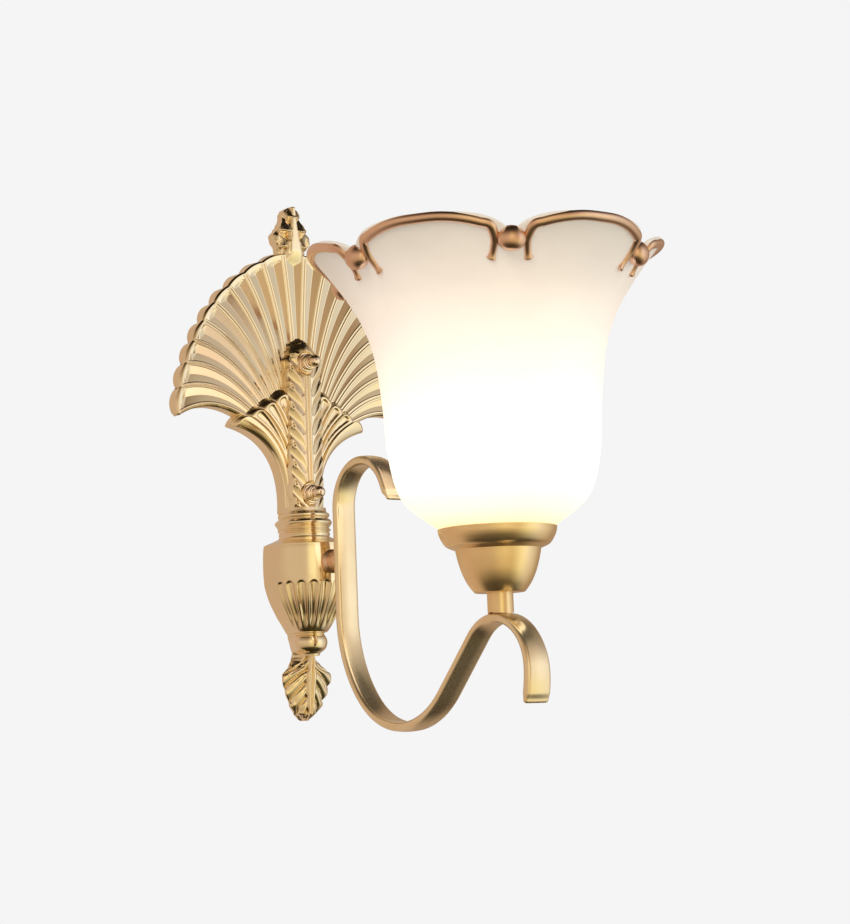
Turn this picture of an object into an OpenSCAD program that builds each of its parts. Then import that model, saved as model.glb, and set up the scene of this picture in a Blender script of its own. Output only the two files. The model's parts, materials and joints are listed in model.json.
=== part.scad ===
// Wall lamp with a fluted fan backplate, an S-shaped arm and one upright bell shade.
// Origin: on the wall, midway between the two cap nuts. +X right, +Z up, the lamp stands out to -Y.

/* [Backplate fan] */
// Flutes on each side of the fan
fan_flutes = 9; // [5:1:9]
// Height of the centre of the fan's arc above the origin
fan_centre_z = 20; // [14:0.5:26]
// Least radius of the fan's scalloped rim
fan_r = 64.2; // [56:0.2:70]
// Extra radius of the fan at its tips
fan_tip_extra = 7.8; // [4:0.2:10]
// Extra radius of the fan beside the finial
fan_top_extra = 7.5; // [4:0.5:10]
// Angle from the top of the fan to its tip
fan_spread = 101.5; // [90:0.5:108]
// Angle at the top that the finial covers, to each side
fan_gap = 5.2; // [3:0.1:8]
// Height of each scallop on the rim
scallop = 2.2; // [0.8:0.1:3]
// Depth of the fan's side wall
fan_depth = 7.4; // [6:0.1:9]
// Depth of the flutes
flute_depth = 2.2; // [0.8:0.1:3]
// Wall of the casting
cast_wall = 1.8; // [1.4:0.1:2.4]

/* [Front leaf] */
// Lobes on each side of the small front fan
skirt_lobes = 4; // [3:1:5]
// Half width of the small front fan at its outer tips
skirt_half_w = 43.5; // [34:0.5:46]
// Height of the small front fan's inner lobes
skirt_top_z = 17.5; // [14:0.5:24]
// Height of the small front fan's outer tips
skirt_tip_z = -2; // [-5:0.5:4]
// How far the small fan stands proud of the big one at the middle
skirt_proud = 4; // [2:0.1:5]
// Half width of the central leaf
boss_half_w = 10.5; // [8.5:0.5:12]
// Depth of the central leaf's front above the wall
boss_depth = 16; // [14:0.5:19]
// Height of the central leaf's top
boss_top_z = 45; // [42:0.5:48]
// Pairs of lobes on the central leaf
boss_lobes = 7; // [5:1:8]

/* [Vase] */
// Greatest radius of the vase
vase_r = 19.4; // [17:0.2:22]
// Depth of the vase's flat sides
vase_flat = 14; // [12:0.5:17]
// Height of the vase's shoulder
vase_top_z = -57; // [-59:0.5:-56]
// Height of the vase's foot
vase_foot_z = -104.5; // [-107:0.5:-102]
// Flutes round the vase
vase_flutes = 10; // [8:2:12]
// Depth of the vase's flutes
vase_flute_depth = 1.4; // [0.6:0.1:1.6]
// Radius of the neck rings
neck_ring_r = 15.6; // [14.5:0.1:17]
// Radius of the bead under the vase
foot_bead_r = 9.8; // [8.5:0.1:11]
// Length of the bottom leaf
leaf_len = 35; // [29:0.5:39]
// Half width of the bottom leaf
leaf_half_w = 14; // [11:0.5:16]
// Height of the finial above the fan
finial_h = 32; // [29:0.5:36]
// Half width of the finial
finial_half_w = 10.5; // [9:0.5:13]

/* [Wall bracket] */
// Width of the bracket
bracket_w = 16; // [14:0.5:18]
// Length of the bracket
bracket_len = 152; // [148:1:154]
// Thickness of the bracket
bracket_t = 2; // [1.6:0.1:2.5]
// Distance between the two studs
stud_spacing = 67.6; // [64:0.2:70]
// Thread size of the studs
stud_d = 4; // [3.5:0.1:4.5]
// Distance between the two wall screw slots
slot_spacing = 40; // [36:1:44]
// Width of a wall screw slot
slot_w = 4.6; // [4:0.1:5.2]
// Length of a wall screw slot
slot_len = 12; // [9:0.5:14]
// Cable hole in the bracket
cable_hole_d = 12; // [9:0.5:13]
// Distance of the earth screw from the bracket's lower end
earth_inset = 24; // [22:0.5:28]
// Diameter of the cap nut's flange
cap_nut_d = 9; // [8:0.2:10]
// Diameter of the ball at the cap nut's end
cap_ball_d = 6; // [5:0.2:7]

/* [Arm] */
// Width of the arm's oval section
arm_w = 12.5; // [11:0.1:14]
// Thickness of the arm's oval section
arm_t = 5; // [4.6:0.1:6]
// Wall of the arm's tube
arm_wall = 0.9; // [0.7:0.05:1]
// Height of the arm's fixing on the vase
arm_fix_z = -70; // [-72:0.5:-68]
// Height from the fixing to the centre of the top curl
curl_rise = 25; // [20:0.5:32]
// Bend radius of the top curl
curl_r = 22; // [18:0.5:26]
// Angle of the top curl
curl_angle = 155; // [130:1:170]
// Straight end of the top curl
curl_end = 5; // [3:0.5:10]
// Straight part of the arm below its fixing
leg_len = 27.7; // [22:0.1:32]
// First bend radius of the arm's bowl
bowl_r1 = 62; // [56:1:68]
// Middle bend radius of the arm's bowl
bowl_r2 = 45; // [40:1:50]
// Last bend radius of the arm's bowl
bowl_r3 = 50; // [44:1:56]
// Angle of the first bend of the bowl
bowl_a1 = 44; // [40:1:48]
// Angle of the middle bend of the bowl
bowl_a2 = 54; // [50:1:58]
// Straight rise towards the lamp
rise_len = 35.8; // [30:0.2:42]
// Slope of that rise above level
rise_slope = 45; // [40:1:50]
// Bend radius of the hook under the lamp
hook_r = 25; // [22:0.5:28]
// Bend radius of the hook's end
hook_end_r = 45; // [35:1:55]
// Angle of the hook's end
hook_end_a = 12; // [6:1:20]
// Length of each pressed tip
tip_len = 5; // [3:0.5:7]
// Length of the collar between the vase and the arm
collar_len = 10; // [7:0.5:14]
// Diameter of the collar
collar_d = 12; // [11:0.5:14]
// Outer diameter of the hollow nipples
nipple_d = 8; // [7.5:0.1:8.5]
// Bore of the hollow nipples
nipple_bore = 5.6; // [5.2:0.1:6]
// Diameter of a lead over its insulation
lead_d = 2; // [1.6:0.1:2.2]

/* [Cup and neck] */
// Diameter of the neck tube
neck_d = 12; // [11:0.5:14]
// Height of the neck tube
neck_h = 9; // [6:0.5:12]
// Height of the cup
cup_h = 29.6; // [28:0.2:33]
// Radius of the cup's rim
cup_rim_r = 27.4; // [26.5:0.2:29]
// Radius of the cup's waist
cup_waist_r = 19.8; // [19:0.2:21]
// Radius of the cup's bottom
cup_foot_r = 11.9; // [11:0.2:13.5]
// Height of the cup's upper band
cup_band_h = 9; // [8:0.2:10.5]
// Wall of the cup
cup_wall = 0.9; // [0.7:0.05:1.1]

/* [Shade] */
// Lobes round the shade's rim
shade_lobes = 6; // [5:1:8]
// Radius of the shade at the beads
bead_ring_r = 72.5; // [70:0.5:76]
// How far each lobe reaches past the beads, outwards
lobe_out = 10.5; // [7:0.5:13]
// How far each lobe rises past the beads
lobe_up = 10; // [7:0.5:13]
// Radius of the shade's belly
belly_r = 50; // [47:0.5:53]
// Height of the shade from its seat to the beads
shade_h = 120; // [112:1:128]
// Thickness of the glass
glass_t = 3.2; // [2.6:0.1:3.8]
// Diameter of a rim bead
bead_d = 11; // [9:0.5:12]
// Turn of the lobes about the lamp's axis
shade_turn = 2; // [-10:1:10]

/* [Lampholder and bulb] */
// Radius of the lampholder's threaded skirt
skirt_r = 19.8; // [19.4:0.1:20.2]
// Wall of the lampholder's skirt
skirt_wall = 3; // [2.4:0.1:3.6]
// Height of the skirt above its flange
skirt_h = 23; // [21:0.5:25]
// Radius of the bulb's screw cap
cap_r = 13.1; // [12.8:0.05:13.2]
// Greatest radius of the bulb
bulb_r = 30; // [24:0.5:32]
// Height of the bulb from its contact to its top
bulb_h = 108; // [100:1:112]
// Height of the shade ring
ring_h = 6; // [5:0.5:7]
// Width of the shade ring's flange
ring_flange = 5.4; // [4.5:0.1:5.8]

/* [Fits] */
// Radial clearance of a fixed fastener in its hole
hole_play = 0.3; // [0.2:0.05:0.5]
// Radial clearance of the bulb's cap in its screw shell
cap_play = 0.1; // [0.05:0.01:0.2]
// Radial clearance of the shade ring on the skirt
ring_play = 0.1; // [0.05:0.01:0.15]
// Gap left between neighbouring loose pieces
seat_gap = 0.3; // [0.2:0.05:0.4]

/* [Hidden] */

// Colours
french_gold = [0.93, 0.80, 0.55];
steel = [0.72, 0.73, 0.75];
brass = [0.79, 0.67, 0.42];
copper = [0.75, 0.50, 0.36];
frosted = [0.97, 0.94, 0.88];
white_plastic = [0.93, 0.93, 0.91];

// Places along the wall normal, as depths in front of the wall
sheet_back = fan_depth - flute_depth - cast_wall;
vase_front = vase_flat + vase_r;
leg_depth = vase_front + collar_len + arm_t / 2;
arm_cavity_t = arm_t - 2 * arm_wall;
arm_cavity_w = arm_w - 2 * arm_wall;
cap_seat = boss_depth - 1;
stud_hold = 4.2;
nut_across = stud_d * 1.75;
nut_h = stud_d * 0.7;
nipple_washer_r = nipple_d * 0.75;
vase_inner_r = (vase_r - cast_wall - vase_flute_depth / 2) * cos(93 / vase_flutes);
nipple_washer_front = vase_flat - seat_gap + sqrt(pow(vase_inner_r, 2) - pow(nipple_washer_r, 2));
nipple_nut_h = 4;
nipple_in = nipple_washer_front - nipple_nut_h - 3.5;
neck_bottom_z = vase_top_z + 1;
neck_top_z = neck_bottom_z + 14;
earth_z = earth_inset - bracket_len / 2;

// Terminal block, its two poles beside the nipple's axis
block_w = 18;
block_depth = 13;
block_low = 6;
block_high = 9;
block_screw_d = 3;
block_screw_rise = 5;
pole_x = 4.5;
clamp_d = 3;
clamp_places = [0.28, 0.72];

// The arm's centre line in its own plane: [depth, height, heading], heading in degrees above level.
// A run is [0, length, 0] for a straight, or [side, radius, angle] for a bend, side 1 to the left.
function after(p, s) = s[0] == 0
    ? [p[0] + s[1] * cos(p[2]), p[1] + s[1] * sin(p[2]), p[2]]
    : let (t = p[2] + s[0] * s[2])
        [p[0] + s[0] * s[1] * (sin(t) - sin(p[2])), p[1] - s[0] * s[1] * (cos(t) - cos(p[2])), t];
function pose(p, runs, k) = k == 0 ? p : after(pose(p, runs, k - 1), runs[k - 1]);
function point_on(p, s, t) = after(p, s[0] == 0 ? [0, s[1] * t, 0] : [s[0], s[1], s[2] * t]);
bowl_a3 = 90 + rise_slope - bowl_a1 - bowl_a2;
arm_start = [leg_depth, arm_fix_z, -90];
arm_runs = [[0, leg_len, 0], [1, bowl_r1, bowl_a1], [1, bowl_r2, bowl_a2], [1, bowl_r3, bowl_a3],
    [0, rise_len, 0], [-1, hook_r, 90 + rise_slope], [-1, hook_end_r, hook_end_a]];
curl_start = [leg_depth, arm_fix_z, 90];
curl_runs = [[0, curl_rise, 0], [-1, curl_r, curl_angle], [0, curl_end, 0]];
hook_start = pose(arm_start, arm_runs, 5);
hook_centre = [hook_start[0] + hook_r * sin(rise_slope), hook_start[1] - hook_r * cos(rise_slope)];

// The lamp's axis and its levels
lamp_depth = hook_centre[0];
arm_top_z = hook_centre[1] + hook_r + arm_t / 2;
cup_z = arm_top_z + neck_h;
cup_rim_z = cup_z + cup_h;
flange_t = 1.6;
gasket_t = 1;
shade_seat_z = cup_rim_z - 0.6;
flange_z = shade_seat_z - gasket_t - flange_t;
cup_washer_t = 1;
cup_nut_h = 4;
base_r = 17;
base_bore = 15;
base_z = cup_z + cup_wall + cup_washer_t + cup_nut_h + seat_gap;
insert_z = base_z + 9.5;
insert_h = 4.5;
insert_top = insert_z + insert_h;
clamp_x = 7.5;
lead_x = 1.4;
ring_washer_t = 1;
ring_washer_z = shade_seat_z + glass_t;
ring_z = ring_washer_z + ring_washer_t;
contact_z = insert_top + 2.2;
cap_len = 23;
shell_t = 0.6;
shell_h = cap_len + 1;
cap_inner_r = cap_r + cap_play;
board_z = bulb_h - 56;
module at_lamp() { translate([0, -lamp_depth, 0]) children(); }

// Draws a flat outline upright against the wall and thickens it towards the room
module upright(depth, from = 0)
{
    translate([0, -from, 0]) rotate([90, 0, 0]) linear_extrude(depth) children();
}
// Sets a turned piece, drawn along +Z, pointing from the wall to the room
module facing_room(x, depth, z) { translate([x, -depth, z]) rotate([90, 0, 0]) children(); }
module ring(outer, inner, h)
{
    difference() {
        cylinder(r = outer, h = h, $fn = 64);
        translate([0, 0, -1]) cylinder(r = inner, h = h + 2, $fn = 64);
    }
}
module hex_nut(across, bore, h)
{
    difference() {
        cylinder(d = across / cos(30), h = h, $fn = 6);
        translate([0, 0, -1]) cylinder(r = bore, h = h + 2, $fn = 48);
    }
}

// A closed solid with a curved front on a grid and a flat back: front(i, j) gives [x, depth, z]
function tri_grid(nu, ns, w) = [for (i = [0:nu - 1], j = [0:ns - 1])
    each let (a = i * w + j, b = a + 1, c = a + w, d = c + 1) [[a, b, d], [a, d, c]]];
module relief(nu, ns, back, front)
{
    w = ns + 1;
    grid = [for (i = [0:nu], j = [0:ns]) front(i / nu, j / ns)];
    edge = concat([for (i = [0:nu]) i * w + ns], [for (j = [ns - 1:-1:0]) nu * w + j],
        [for (i = [nu - 1:-1:0]) i * w], [for (j = [1:ns - 1]) j]);
    n = len(edge);
    rear = [for (e = edge) [grid[e][0], back, grid[e][2]]];
    g = len(grid);
    points = [for (p = concat(grid, rear)) [p[0], -p[1], p[2]]];
    walls = [for (k = [0:n - 1]) each let (m = (k + 1) % n)
        [[edge[k], g + k, g + m], [edge[k], g + m, edge[m]]]];
    polyhedron(points = points,
        faces = concat(tri_grid(nu, ns, w), walls, [[for (k = [n - 1:-1:0]) g + k]]));
}
function bez(a, b, c, t) = (1 - t) * (1 - t) * a + 2 * t * (1 - t) * b + t * t * c;
// Trough from 0 on a ridge to 1 in the middle of a flute
function trough(u, n) = let (f = u * n - floor(u * n)) pow(sin(180 * f), 0.7);

// Fan: every flute rises from the stem and bends outwards to its scallop
fan_waist = 0.55;
fan_stem_half_w = neck_ring_r - 2.6;
fan_stem_z = fan_centre_z - fan_r / 2;
function fan_swell(v) = v < fan_waist ? fan_top_extra * pow(1 - v / fan_waist, 2)
    : fan_tip_extra * pow((v - fan_waist) / (1 - fan_waist), 2);
function fan_rim(u) = let (v = abs(u), a = sign(u) * (fan_gap + (fan_spread - fan_gap) * v),
        r = fan_r + fan_swell(v) + scallop * trough(v, fan_flutes))
    [r * sin(a), fan_centre_z + r * cos(a)];
function fan_stem(u) = [u * fan_stem_half_w, fan_stem_z];
function fan_bend(u) = [u * 0.69 * fan_r, fan_centre_z + 2 + 30 * (1 - u * u)];
function fan_point(u, s) = let (p = bez(fan_stem(u), fan_bend(u), fan_rim(u), s),
        d = fan_depth + 1.4 * (1 - s) - flute_depth * trough(abs(u), fan_flutes) * min(1, 7 * (1.03 - s)))
    [p[0], d, p[1]];

// Small front fan and stem in one
function skirt_tip(u) = let (v = abs(u), x = 9 + (skirt_half_w - 9) * v,
        z = skirt_top_z + (skirt_tip_z - skirt_top_z) * v)
    [sign(u) * x, z + 2.4 * trough(v, skirt_lobes)];
function skirt_point(u, s) = let (p = bez([u * (neck_ring_r - 1.6), neck_top_z - 1], [u * 17, -16],
            skirt_tip(u), s),
        v = abs(u), d = fan_depth + skirt_proud * (1 - 0.85 * v * v) * (0.4 + 0.6 * s)
            - 1.5 * trough(v, skirt_lobes) * min(1, 2.4 * s))
    [p[0], d, p[1]];

// Vase, rings and bead: [height, radius, depth of the flat side, flute depth]
vase_h = vase_top_z - vase_foot_z;
vase_levels = [
    [vase_foot_z - 10.5, foot_bead_r - 2.8, 7.2, 0], [vase_foot_z - 8, foot_bead_r - 0.6, 7.8, 0],
    [vase_foot_z - 5, foot_bead_r, 8, 0], [vase_foot_z - 2, foot_bead_r - 0.8, 8, 0],
    [vase_foot_z, foot_bead_r - 2.4, 8.6, 0],
    [vase_foot_z + 1.5, foot_bead_r - 1.4, 9.4, 0.2],
    [vase_foot_z + 0.15 * vase_h, vase_r - 7, 11.4, vase_flute_depth],
    [vase_foot_z + 0.30 * vase_h, vase_r - 3.6, 13, vase_flute_depth],
    [vase_foot_z + 0.45 * vase_h, vase_r - 1.2, vase_flat, vase_flute_depth],
    [vase_foot_z + 0.54 * vase_h, vase_r - 0.3, vase_flat, vase_flute_depth * 0.8],
    [vase_foot_z + 0.56 * vase_h, vase_r, vase_flat, 0],
    [vase_foot_z + 0.80 * vase_h, vase_r, vase_flat, 0],
    [vase_top_z - 3.2, vase_r - 0.5, vase_flat, 0],
    [vase_top_z, neck_ring_r - 2.6, 11, 0], [vase_top_z + 2.4, neck_ring_r - 1.6, 10.2, 0],
    [vase_top_z + 6, neck_ring_r, 10, 0], [vase_top_z + 8.8, neck_ring_r - 1.8, 9.8, 0],
    [vase_top_z + 12.4, neck_ring_r - 1.2, 9.6, 0], [vase_top_z + 14, neck_ring_r - 2.2, 9, 0],
    [vase_top_z + 18, neck_ring_r - 3, 8, 0]];
// Half a turn in plan: flat sides from the wall, then a round front
function plan_ring(l, n, per, shrink) = let (r = l[1] - shrink, f = l[2])
    concat([[-r, shrink > 0 ? 1 : 0]], [for (k = [0:n * per]) let (a = -93 + 186 * k / (n * per),
            q = r - (shrink > 0 ? 0 : l[3] * pow(sin(180 * (k / per - floor(k / per))), 0.7)))
        [q * sin(a), -f - q * cos(a)]], [[r, shrink > 0 ? 1 : 0]]);
module lofted(rings, zs)
{
    n = len(rings[0]);
    m = len(rings);
    points = [for (j = [0:m - 1], p = rings[j]) [p[0], p[1], zs[j]]];
    sides = [for (j = [0:m - 2], k = [0:n - 1]) each let (a = j * n + k, b = j * n + (k + 1) % n,
        c = a + n, d = b + n) [[a, d, b], [a, c, d]]];
    polyhedron(points = points, faces = concat(sides, [[for (k = [0:n - 1]) k]],
        [[for (k = [n - 1:-1:0]) (m - 1) * n + k]]));
}
module vase_body()
{
    lofted([for (l = vase_levels) plan_ring(l, vase_flutes, 4, 0)], [for (l = vase_levels) l[0]]);
}
module vase_hollow()
{
    foot = vase_foot_z + 0.14 * vase_h;
    inner = [for (l = vase_levels) if (l[0] > foot && l[0] < vase_top_z + 1 || l[0] > neck_top_z + 1) l];
    lofted([for (l = inner) plan_ring(l, vase_flutes, 1, cast_wall + vase_flute_depth * 0.5)],
        [for (l = inner) l[0]]);
}

// A carved lobe: a bar that swells from one point to another, [x, depth, z, radius] each
module lobe(a, b)
{
    hull() {
        translate([a[0], -a[1], a[2]]) sphere(r = a[3], $fn = 6);
        translate([b[0], -b[1], b[2]]) sphere(r = b[3], $fn = 6);
    }
}
module both_sides() { children(); mirror([1, 0, 0]) children(); }

module central_leaf()
{
    foot = neck_top_z + 2;
    step = (boss_top_z - 10 - foot) / boss_lobes;
    both_sides() for (k = [0:boss_lobes - 1]) {
        z = foot + (k + 0.6) * step;
        w = boss_half_w * (0.86 + 0.2 * k / (boss_lobes - 1));
        lobe([1.6, boss_depth - 3.2, z, 2.6], [w - 2, boss_depth - 3.8, z + step * 0.95, 2.2]);
    }
    lobe([0, boss_depth - 2.6, foot, 2.6], [0, boss_depth - 2.2, boss_top_z - 5, 2.2]);
    upright(boss_depth - 3, cast_wall) polygon([[-boss_half_w + 3, foot], [boss_half_w - 3, foot],
        [boss_half_w - 2, boss_top_z - 8], [4, boss_top_z], [-4, boss_top_z],
        [-boss_half_w + 2, boss_top_z - 8]]);
}

module finial()
{
    z0 = fan_centre_z + fan_r + 1;
    d = fan_depth - 3;
    both_sides() {
        lobe([3.2, d, z0 - 3, 3.4], [finial_half_w - 3, d, z0 + finial_h * 0.46, 3.2]);
        lobe([2, d, z0 + finial_h * 0.3, 3], [finial_half_w - 6, d, z0 + finial_h * 0.74, 2.4]);
    }
    lobe([0, d + 0.8, z0 - 6, 3.6], [0, d, z0 + finial_h - 1.8, 2.6]);
    upright(d - 0.2) polygon([[-finial_half_w * 0.66, z0 - 8], [finial_half_w * 0.66, z0 - 8],
        [finial_half_w - 1.4, z0 + finial_h * 0.48], [2, z0 + finial_h - 2],
        [-2, z0 + finial_h - 2], [-finial_half_w + 1.4, z0 + finial_h * 0.48]]);
}

module bottom_leaf()
{
    z0 = vase_foot_z - 10;
    d = 4.6;
    both_sides() {
        for (k = [0:3]) {
            z = z0 - 2 - k * leaf_len * 0.17;
            w = leaf_half_w * [0.92, 1, 0.82, 0.6][k];
            lobe([1.6, d + 1, z, 2.2], [w - 2, d - 1.2, z - leaf_len * 0.26, 2]);
        }
    }
    lobe([0, d + 1.6, z0 + 1, 3], [0, d - 2, z0 - leaf_len + 2, 2]);
    upright(d) polygon([[-6, z0 + 2], [6, z0 + 2], [leaf_half_w - 3, z0 - leaf_len * 0.36],
        [leaf_half_w - 5, z0 - leaf_len * 0.72], [0, z0 - leaf_len + 0.5],
        [-leaf_half_w + 5, z0 - leaf_len * 0.72], [-leaf_half_w + 3, z0 - leaf_len * 0.36]]);
}

// Outline of the plate on the wall: fan, stem and their hollow
module fan_outline()
{
    polygon(concat([for (k = [0:72]) fan_rim(-1 + k / 36)],
        [for (k = [9:-1:0]) bez(fan_stem(1), fan_bend(1), fan_rim(1), k / 10)],
        [for (k = [0:9]) bez(fan_stem(-1), fan_bend(-1), fan_rim(-1), k / 10)]));
}
module skirt_outline()
{
    polygon(concat([for (k = [0:32]) skirt_tip(-1 + k / 16)],
        [for (k = [7:-1:0]) let (p = skirt_point(1, k / 8)) [p[0], p[2]]],
        [for (k = [0:7]) let (p = skirt_point(-1, k / 8)) [p[0], p[2]]]));
}
module plate_outline() { fan_outline(); skirt_outline(); }
module plate_shell()
{
    difference() {
        upright(sheet_back + cast_wall * 0.6) offset(delta = -0.15) plate_outline();
        upright(sheet_back + 1, -1) offset(delta = -cast_wall) plate_outline();
        upright(sheet_back + 1, -1) translate([0, neck_top_z + 2])
            square([2 * (neck_ring_r - 3 - cast_wall), 12], center = true);
    }
}

module backplate()
{
    color(french_gold) difference() {
        union() {
            plate_shell();
            relief(fan_flutes * 8, 6, sheet_back + 0.5, function(i, j) fan_point(2 * i - 1, j));
            relief(skirt_lobes * 8, 5, sheet_back + 0.8, function(i, j) skirt_point(2 * i - 1, j));
            difference() { vase_body(); vase_hollow(); }
            central_leaf();
            finial();
            bottom_leaf();
            for (s = [-1, 1]) facing_room(0, fan_depth, s * stud_spacing / 2)
                cylinder(r = cap_nut_d / 2 + 0.8, h = cap_seat - fan_depth, $fn = 32);
            facing_room(0, vase_front - 4, arm_fix_z) cylinder(d = collar_d + 1, h = 4, $fn = 32);
        }
        for (s = [-1, 1]) {
            facing_room(0, -1, s * stud_spacing / 2)
                cylinder(r = stud_d / 2 + hole_play, h = cap_seat + 2, $fn = 24);
            facing_room(0, -1, s * stud_spacing / 2)
                cylinder(r = nut_across * 0.58 + seat_gap, h = 1 + bracket_t + nut_h + seat_gap, $fn = 24);
            facing_room(0, cap_seat, s * stud_spacing / 2)
                cylinder(r = cap_nut_d / 2 + seat_gap, h = 12, $fn = 32);
        }
        facing_room(0, vase_front - 8, arm_fix_z) cylinder(r = nipple_d / 2 + hole_play, h = 20, $fn = 32);
        translate([-bracket_w / 2 - 1, -bracket_t - 0.4, -bracket_len / 2 - 1])
            cube([bracket_w + 2, bracket_t + 2, bracket_len + 2]);
    }
}

module wall_bracket()
{
    color(steel) upright(bracket_t) difference() {
        union() {
            square([bracket_w, bracket_len - bracket_w], center = true);
            for (s = [-1, 1]) translate([0, s * (bracket_len - bracket_w) / 2])
                circle(d = bracket_w, $fn = 48);
        }
        for (s = [-1, 1]) {
            translate([0, s * stud_spacing / 2]) circle(d = stud_d, $fn = 32);
            for (e = [-1, 1]) translate([0, s * slot_spacing / 2 + e * (slot_len - slot_w) / 2])
                circle(d = slot_w, $fn = 32);
            translate([0, s * slot_spacing / 2]) square([slot_w, slot_len - slot_w], center = true);
        }
        circle(d = cable_hole_d, $fn = 48);
        translate([0, earth_z]) circle(d = stud_d, $fn = 32);
        translate([0, arm_fix_z + block_screw_rise]) circle(d = block_screw_d, $fn = 32);
    }
}

module bracket_studs()
{
    color(steel) for (s = [-1, 1]) facing_room(0, 0, s * stud_spacing / 2)
        cylinder(d = stud_d, h = cap_seat + stud_hold, $fn = 32);
}
module stud_nuts()
{
    color(steel) for (s = [-1, 1]) facing_room(0, bracket_t, s * stud_spacing / 2)
        hex_nut(nut_across, stud_d / 2, nut_h);
}
module cap_nut()
{
    r = cap_nut_d / 2;
    b = cap_ball_d / 2;
    difference() {
        rotate_extrude($fn = 48) polygon(concat([[0, 0], [r, 0], [r, 1.4], [r - 0.6, 2],
            [r - 1.2, 2.2], [r - 0.8, 3], [r - 1.2, 3.8], [r - 1.8, 4], [b * 0.62, 4.8]],
            [for (a = [-50:20:70]) [b * cos(a), 7 + b * sin(a)]], [[0, 7 + b]]));
        translate([0, 0, -1]) cylinder(d = stud_d, h = 1 + stud_hold, $fn = 32);
    }
}
module cap_nuts()
{
    color(copper) for (s = [-1, 1]) facing_room(0, cap_seat, s * stud_spacing / 2) cap_nut();
}
module earth_screw()
{
    color(brass) facing_room(0, 0, earth_z) {
        cylinder(d = stud_d, h = bracket_t + 1.6, $fn = 32);
        translate([0, 0, bracket_t + 1]) difference() {
            cylinder(d = stud_d * 1.8, h = 1.8, $fn = 48);
            translate([-stud_d, -0.4, 1]) cube([2 * stud_d, 0.8, 1]);
        }
    }
}
module earth_washer()
{
    color(brass) facing_room(0, bracket_t, earth_z) ring(stud_d * 1.15, stud_d / 2 + hole_play, 1);
}

module terminal_block()
{
    color(white_plastic) translate([0, -bracket_t, arm_fix_z]) rotate([90, 0, 0]) difference() {
        translate([-block_w / 2, -block_low, 0]) cube([block_w, block_low + block_high, block_depth]);
        for (s = [-1, 1]) {
            translate([s * pole_x, 0, -1])
                cylinder(d = lead_d + 2 * hole_play, h = block_depth + 2, $fn = 24);
            for (d = clamp_places) translate([s * pole_x, 0, block_depth * d]) rotate([-90, 0, 0])
                cylinder(d = clamp_d, h = block_high + 1, $fn = 24);
        }
        translate([0, block_screw_rise, -1])
            cylinder(d = block_screw_d + 2 * hole_play, h = block_depth + 2, $fn = 32);
    }
}
module terminal_screws()
{
    color(steel) for (s = [-1, 1], d = clamp_places)
        translate([s * pole_x, -bracket_t - block_depth * d, arm_fix_z + lead_d / 2 + 0.1]) difference() {
            cylinder(d = clamp_d, h = block_high - lead_d / 2 - 0.6, $fn = 24);
            translate([-clamp_d, -0.3, block_high - lead_d / 2 - 1.4]) cube([2 * clamp_d, 0.6, 2]);
        }
}
module terminal_mount_screw()
{
    color(steel) facing_room(0, 0, arm_fix_z + block_screw_rise) {
        cylinder(d = block_screw_d, h = bracket_t + block_depth + 0.6, $fn = 32);
        translate([0, 0, bracket_t + block_depth]) cylinder(d = 5, h = 1.6, $fn = 32);
    }
}

module arm_nipple()
{
    color(brass) facing_room(0, nipple_in, arm_fix_z)
        ring(nipple_d / 2, nipple_bore / 2, leg_depth - arm_cavity_t / 2 - nipple_in);
}
module arm_washer()
{
    color(steel) facing_room(0, nipple_washer_front - 1, arm_fix_z)
        ring(nipple_washer_r, nipple_d / 2 + hole_play, 1);
}
module arm_nut()
{
    color(brass) facing_room(0, nipple_washer_front - 1 - nipple_nut_h, arm_fix_z)
        hex_nut(nipple_d * 1.45, nipple_d / 2, nipple_nut_h);
}
module collar()
{
    color(copper) facing_room(0, vase_front, arm_fix_z) difference() {
        rotate_extrude($fn = 64) polygon([[0, 0], [collar_d / 2, 0], [collar_d / 2, 1.5],
            [collar_d / 2 - 1, 2.5], [collar_d / 2 - 1, collar_len - 2.5],
            [collar_d / 2, collar_len - 1.5], [collar_d / 2, collar_len], [0, collar_len]]);
        translate([0, 0, -1]) cylinder(r = nipple_d / 2 + hole_play / 3, h = collar_len + 2, $fn = 48);
    }
}

// The arm's centre line from the curl's tip to the hook's tip: [depth, height, heading, width, thickness]
bend_step = 9;
function stops(s) = s[0] == 0 ? 1 : ceil(s[2] / bend_step);
function centre_line(start, runs) = [for (k = [0:len(runs) - 1], j = [1:stops(runs[k])])
    point_on(pose(start, runs, k), runs[k], j / stops(runs[k]))];
function turned_back(p) = [p[0], p[1], p[2] - 180];
curl_line = centre_line(curl_start, curl_runs);
arm_line = concat([for (k = [len(curl_line) - 1:-1:0]) turned_back(curl_line[k])], [arm_start],
    centre_line(arm_start, arm_runs));
function sized(line, w, t) = [for (p = line) [p[0], p[1], p[2], w, t]];
// A pressed tip narrows and flattens the tube past one end of the line
function pressed(p, len, w, t) = concat(after(p, [0, len, 0]), [w, t]);

// Sweeps the oval section along a line of such stops, with so many facets on each rounded side
module swept(line, facets)
{
    n = 2 * (facets + 1);
    m = len(line);
    function around(p, k) = let (side = k > facets ? -1 : 1, a = 180 * (k % (facets + 1)) / facets,
            u = side * p[4] / 2 * cos(a), v = side * ((p[3] - p[4]) / 2 + p[4] / 2 * sin(a)))
        [v, u * sin(p[2]) - p[0], p[1] + u * cos(p[2])];
    points = [for (p = line, k = [0:n - 1]) around(p, k)];
    sides = [for (j = [0:m - 2], k = [0:n - 1]) each let (a = j * n + k, b = j * n + (k + 1) % n)
        [[a, b, b + n], [a, b + n, a + n]]];
    polyhedron(points = points, faces = concat(sides, [[for (k = [n - 1:-1:0]) k]],
        [[for (k = [0:n - 1]) (m - 1) * n + k]]));
}

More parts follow.
